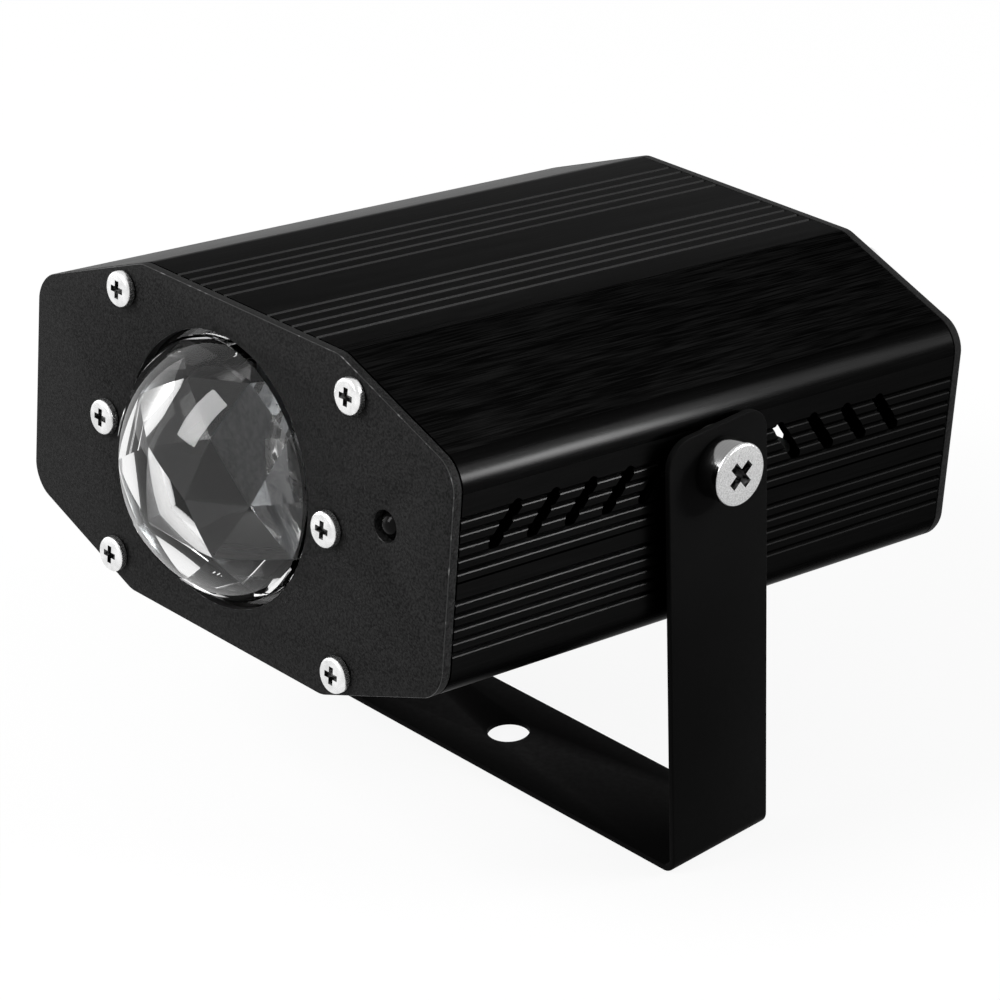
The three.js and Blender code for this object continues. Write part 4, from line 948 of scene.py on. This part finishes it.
def pivot_screw():
    """A long headed screw along +Y with the underside of its head at zero and its side polished."""
    piece = screw_head(
        PIVOT_HEAD_RADIUS, PIVOT_HEAD_LENGTH, FINE_SIDES, PIVOT_HEAD_EDGE, PIVOT_HEAD_STEPS,
        (PIVOT_RECESS_LENGTH, PIVOT_RECESS_WIDTH, PIVOT_RECESS_DEPTH),
    )
    shank = rod_y("shank", PIVOT_SHANK_RADIUS, -SEAT_GAP, PIVOT_SHANK_LENGTH)
    carve(piece, [shank], "UNION")
    reach = PIVOT_RECESS_LENGTH / 2
    paint_recess_shade(piece, -PIVOT_HEAD_LENGTH, reach)
    # The side of the head: polished, its colour darkened as a painted dark reflection.
    for face in piece.data.polygons:
        if near(face.normal.y, 0) and math.hypot(face.center.x, face.center.z) > reach:
            face.material_index = PIVOT_FINISHES.index(POLISHED_DARKENED)
    piece.data.transform(Matrix.Rotation(PIVOT_RECESS_TURN, 4, "Y"))
    return piece


def pivot_washer():
    """A washer from zero along +Y, with the edges of its rim broken."""
    piece = rod_y("washer", WASHER_RADIUS, 0, WASHER_THICKNESS, sides=FINE_SIDES)
    on_rim = lambda p: near(math.hypot(p.x, p.z), WASHER_RADIUS)
    level = lambda a, b: near(a.y, b.y)
    bevel_where(piece, both(on_rim, level), WASHER_EDGE, SOFT_EDGE_STEPS)
    bore = rod_y("bore", PIVOT_SHANK_RADIUS + SEAT_GAP, -OVERRUN, WASHER_THICKNESS + OVERRUN)
    return carve(piece, [bore])


def pivots():
    """A screw and a washer on each side; both models point into the housing."""
    for side, word in ((1, "right"), (-1, "left")):
        turn = Matrix.Rotation(side * math.pi / 2, 4, "Z")
        for model, node, slot, finishes, x in (
            (pivot_screw(), "pivot_screw", "bright_zinc", PIVOT_FINISHES, ARM_OUTSIDE + SEAT_GAP),
            (pivot_washer(), "pivot_washer", "black_rubber", [RUBBER], WASHER_OUTSIDE),
        ):
            place = HOUSING_PLACE @ Matrix.Translation((side * x, PIVOT_Y, PIVOT_Z)) @ turn
            seat(model, f"{node}_{word}", "housing", finishes, place)


# Bracket
def bracket():
    """The strip bent up at both ends: each end face is swung round its bend and drawn up."""
    side = BRACKET_WIDTH / 2
    bend = BRACKET_BEND_RADIUS + BRACKET_THICKNESS
    flat = ARM_OUTSIDE - bend
    top = PIVOT_HEIGHT + BRACKET_TOP
    piece = block("strip", (-flat, -side, 0), (flat, side, BRACKET_THICKNESS))
    start_edit(piece)
    for end in (1, -1):
        pick_faces(piece, lambda middle, normal: near(middle.x, end * flat))
        bpy.ops.mesh.spin(
            steps=BRACKET_BEND_STEPS, dupli=False, angle=math.pi / 2,
            center=(end * flat, 0, bend), axis=(0, end, 0),
        )
        bpy.ops.mesh.extrude_region_move(TRANSFORM_OT_translate={"value": (0, 0, top - bend)})
        bpy.ops.mesh.select_all(action="SELECT")
        bpy.ops.mesh.normals_make_consistent(inside=False)
    at_top = lambda p: near(p.z, top)
    pick_edges(piece, both(at_top, lambda a, b: not near(a.x, b.x)))
    bevel(BRACKET_CORNER_RADIUS, BRACKET_CORNER_STEPS)
    bpy.ops.mesh.select_all(action="DESELECT")
    bpy.ops.mesh.edges_select_sharp(sharpness=math.radians(SHARP_ANGLE))
    bevel(BRACKET_EDGE, SOFT_EDGE_STEPS)
    end_edit()
    below = (MOUNT_HOLE_X, 0, -OVERRUN)
    above = (MOUNT_HOLE_X, 0, BRACKET_THICKNESS + OVERRUN)
    carve(piece, [rod("hole", MOUNT_HOLE_RADIUS, below, above, FINE_SIDES)])
    on_rim = lambda p: near(math.hypot(p.x - MOUNT_HOLE_X, p.y), MOUNT_HOLE_RADIUS)
    bevel_where(piece, both(on_rim, lambda a, b: near(a.z, b.z)), HOLE_EDGE)
    seat(piece, "bracket", "bracket", [BRACKET_PAINT], LIGHT_PLACE)


# Lens and window
def front_lens():
    """A polished dome on a flange, hollowed behind by flat triangular facets."""
    skirt = LENS_HOLE_RADIUS - LENS_CLEARANCE
    ball = (skirt ** 2 + LENS_DOME_HEIGHT ** 2) / (2 * LENS_DOME_HEIGHT)
    tip = -PLATE_OUTSIDE - LENS_DOME_HEIGHT
    flange_back = -HALF_LENGTH + LENS_FLANGE_THICKNESS
    skirt_back = -HALF_LENGTH + LENS_FLANGE_THICKNESS / 2
    clear_selection()
    bpy.ops.mesh.primitive_uv_sphere_add(
        segments=FINE_SIDES, ring_count=FINE_SIDES, radius=ball, location=(LENS_X, tip + ball, 0),
        rotation=(math.pi / 2, 0, 0),
    )
    piece = new_piece("dome")
    keep = rod_y("keep", skirt, tip - OVERRUN, skirt_back, LENS_X, sides=FINE_SIDES)
    carve(piece, [keep], "INTERSECT")
    flange = rod_y(
        "flange", LENS_FLANGE_RADIUS, -HALF_LENGTH, flange_back, LENS_X, sides=FINE_SIDES,
    )
    carve(piece, [flange], "UNION")
    clear_selection()
    bpy.ops.mesh.primitive_ico_sphere_add(
        subdivisions=LENS_CUT_DIVISIONS, radius=LENS_CUT_RADIUS,
        location=(LENS_X, -PLATE_OUTSIDE + LENS_CUT_DEPTH, 0),
        rotation=(LENS_CUT_TURN, LENS_CUT_TURN, 0),
    )
    facets = new_piece("facets")
    carve(piece, [facets])
    seat(piece, "front_lens", "housing", [ACRYLIC], angle=FACET_ANGLE)


def infrared_window():
    """A dark glossy nose behind the small hole."""
    nose = IR_HOLE_RADIUS - SEAT_GAP
    back = -HALF_LENGTH + IR_PAD_THICKNESS
    clear_selection()
    bpy.ops.mesh.primitive_uv_sphere_add(
        segments=ROUND_SIDES, ring_count=ROUND_SIDES // 2, radius=nose,
        location=(IR_X, nose - PLATE_OUTSIDE, IR_Z), rotation=(math.pi / 2, 0, 0),
    )
    piece = new_piece("nose")
    rim = rod_y("rim", IR_RIM_RADIUS, -HALF_LENGTH, back, IR_X, IR_Z)
    carve(piece, [rim], "UNION")
    seat(piece, "ir_receiver", "housing", [GLOSS_WINDOW])


# Rear controls
def stepped(name, x, steps):
    """Coaxial rods along Y, united, with their end rims broken; steps are radius, start and end."""
    rods = []
    for radius, start, end in steps:
        one = rod_y(name, radius, start, end, x, CONTROL_Z)
        bevel_where(one, both(lambda p: near(p.y, end)), CONTROL_EDGE, SOFT_EDGE_STEPS)
        rods.append(one)
    first, rest = rods[0], rods[1:]
    return carve(first, rest, "UNION") if rest else first


def power_inlet():
    """A flanged barrel in the rear plate, bored out, with a pin in its bore."""
    face = PLATE_SEAT + INLET_FLANGE_THICKNESS
    floor = face - INLET_BORE_DEPTH
    piece = stepped("inlet", INLET_X, [
        (INLET_BARREL_RADIUS, PLATE_INSIDE - INLET_DEPTH, PLATE_SEAT + CONTROL_EDGE),
        (INLET_FLANGE_RADIUS, PLATE_SEAT, face),
    ])
    carve(piece, [rod_y("bore", INLET_BORE_RADIUS, floor, face + OVERRUN, INLET_X, CONTROL_Z)])
    pin = stepped("pin", INLET_X, [(INLET_PIN_RADIUS, floor - SEAT_GAP, floor + INLET_PIN_LENGTH)])
    carve(piece, [pin], "UNION")
    seat(piece, "power_inlet", "housing", [BLACK_ABS])


def mode_switch():
    """A flanged barrel in the rear plate, bored out for a button that stands clear of its floor."""
    face = PLATE_SEAT + SWITCH_FLANGE_THICKNESS
    floor = face - SWITCH_BORE_DEPTH
    piece = stepped("switch", BUTTON_X, [
        (SWITCH_BARREL_RADIUS, PLATE_INSIDE - SWITCH_DEPTH, PLATE_SEAT + CONTROL_EDGE),
        (SWITCH_FLANGE_RADIUS, PLATE_SEAT, face),
    ])
    carve(piece, [rod_y("bore", SWITCH_BORE_RADIUS, floor, face + OVERRUN, BUTTON_X, CONTROL_Z)])
    seat(piece, "mode_switch", "housing", [BLACK_ABS])
    button = stepped("button", BUTTON_X, [
        (BUTTON_RADIUS, floor + SEAT_GAP + BUTTON_TRAVEL, face + BUTTON_STAND),
    ])
    seat(button, "mode_button", "button", [BLACK_ABS])


# Inner pieces
def finish_inner_nodes():
    """The pieces that keep their solids: each gets the finish of its stuff."""
    table = {
        RIPPLED: ["ripple_disc", "still_ripple_glass"],
        ACRYLIC: ["condenser_lens", "led_emitter"],
        RUBBER: ["lens_gasket", "ir_pad"],
        BLACK_ABS: [
            "lens_holder", "disc_clip", "condenser_tube", "capacitor", "control_chip", "board_plug",
        ],
        ALUMINIUM: ["optics_frame", "heat_sink", "led_board"],
        STEEL: ["disc_motor", "motor_shaft"],
        BRASS: ["disc_hub"],
        COPPER: ["driver_coil"],
        GREY_PAD: ["thermal_pad"],
        SOLDER_MASK: ["control_board", "ir_board"],
        ZINC: [
            "motor_screw_1", "motor_screw_2", "tube_screw_1", "tube_screw_2",
            "pivot_nut_right", "pivot_nut_left", "power_inlet_nut", "mode_switch_nut",
        ],
    }
    for finish, nodes in table.items():
        for node in nodes:
            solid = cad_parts[node]
            solid.data.materials.clear()
            solid.data.materials.append(finish)


# Studio
def white_backdrop(tree, shade, white_share):
    """A shade that the camera, gloss and glass see as white, by a share."""
    rays = add(tree, "LightPath").outputs
    seen = rays["Is Camera Ray"]
    for name in ("Is Glossy Ray", "Is Transmission Ray"):
        seen = add(tree, "Math", {"operation": "MAXIMUM"}, {0: seen, 1: rays[name]}).outputs[0]
    share = add(tree, "Math", {"operation": "MULTIPLY"}, {0: seen, 1: white_share}).outputs[0]
    white = add(tree, "Emission", {}, {"Color": grey(1), "Strength": 1.0})
    return add(tree, "MixShader", {}, {0: share, 1: shade, 2: white.outputs[0]}).outputs[0]


def studio_floor():
    """A wide sheet of pale paper, just under the bracket."""
    bpy.ops.mesh.primitive_plane_add(size=FLOOR_SIZE, location=(0, 0, -FLOOR_DROP))
    floor = bpy.context.active_object
    floor.name = "studio_floor"
    finish = bpy.data.materials.new("pale_paper")
    finish.use_nodes = True
    tree = finish.node_tree
    tree.nodes.clear()
    paper = add(tree, "BsdfDiffuse", {}, {"Color": grey(0.85)})
    surface = white_backdrop(tree, paper.outputs[0], FLOOR_WHITE_SHARE)
    add(tree, "OutputMaterial", {}, {"Surface": surface})
    floor.data.materials.append(finish)


def studio_world():
    """Even soft light from all round, in front of a white background."""
    world = bpy.data.worlds.new("studio")
    bpy.context.scene.world = world
    world.use_nodes = True
    tree = world.node_tree
    tree.nodes.clear()
    soft = add(tree, "Background", {}, {"Color": grey(1), "Strength": WORLD_STRENGTH})
    add(tree, "OutputWorld", {}, {"Surface": white_backdrop(tree, soft.outputs[0], 1.0)})


def soft_lamp(name, aim, direction, distance, size, power, spread=OPEN_SPREAD):
    """A rectangular soft lamp at a distance from the point that it is aimed at, in metres and
    watts; a grid may narrow its spread, in degrees."""
    along = Vector(direction).normalized()
    data = bpy.data.lights.new(name, "AREA")
    data.shape = "RECTANGLE"
    data.size, data.size_y = size
    data.energy = power
    data.spread = math.radians(spread)
    lamp = bpy.data.objects.new(name, data)
    lamp.location = Vector(aim) + along * distance
    lamp.rotation_euler = along.to_track_quat("Z", "Y").to_euler()
    bpy.context.collection.objects.link(lamp)


def studio_lamps():
    """A small near lamp for the highlight along the shoulder, and a broad one for each side."""
    soft_lamp(
        "shoulder_lamp", aim=SHOULDER_FRONT, direction=(0.664, 0.688, 0.292), distance=0.15,
        size=(0.04, 0.04), power=0.012, spread=28,
    )
    soft_lamp(
        "side_lamp", aim=HOUSING_MIDDLE, direction=(0.648, 0.678, 0.40), distance=0.9,
        size=(0.4, 0.4), power=4.4,
    )
    soft_lamp(
        "front_lamp", aim=HOUSING_MIDDLE, direction=(-0.35, -1, 0.9), distance=1.1,
        size=(0.36, 0.7), power=12,
    )
    soft_lamp(
        "left_lamp", aim=HOUSING_MIDDLE, direction=(-0.9, -0.42, 0.25), distance=1.2,
        size=(0.9, 0.7), power=3,
    )


def photo_camera():
    """The photograph's own point of view."""
    data = bpy.data.cameras.new("photo_camera")
    data.sensor_width = CAMERA_SENSOR
    data.lens = CAMERA_LENS
    data.clip_start = CAMERA_CLIP
    camera = bpy.data.objects.new("photo_camera", data)
    place = Vector(CAMERA_PLACE) * MILLIMETRE
    sight = Vector(CAMERA_TARGET) * MILLIMETRE - place
    look = sight.to_track_quat("-Z", "Y").to_matrix().to_4x4()
    roll = Matrix.Rotation(CAMERA_ROLL, 4, "Z")
    camera.matrix_world = Matrix.Translation(place) @ look @ roll
    bpy.context.collection.objects.link(camera)
    bpy.context.scene.camera = camera


photo_camera()
shells()
end_plates()
small_screws()
pivots()
bracket()
front_lens()
infrared_window()
power_inlet()
mode_switch()
finish_inner_nodes()
studio_floor()
studio_world()
studio_lamps()
bpy.context.scene.view_settings.view_transform = "Standard"
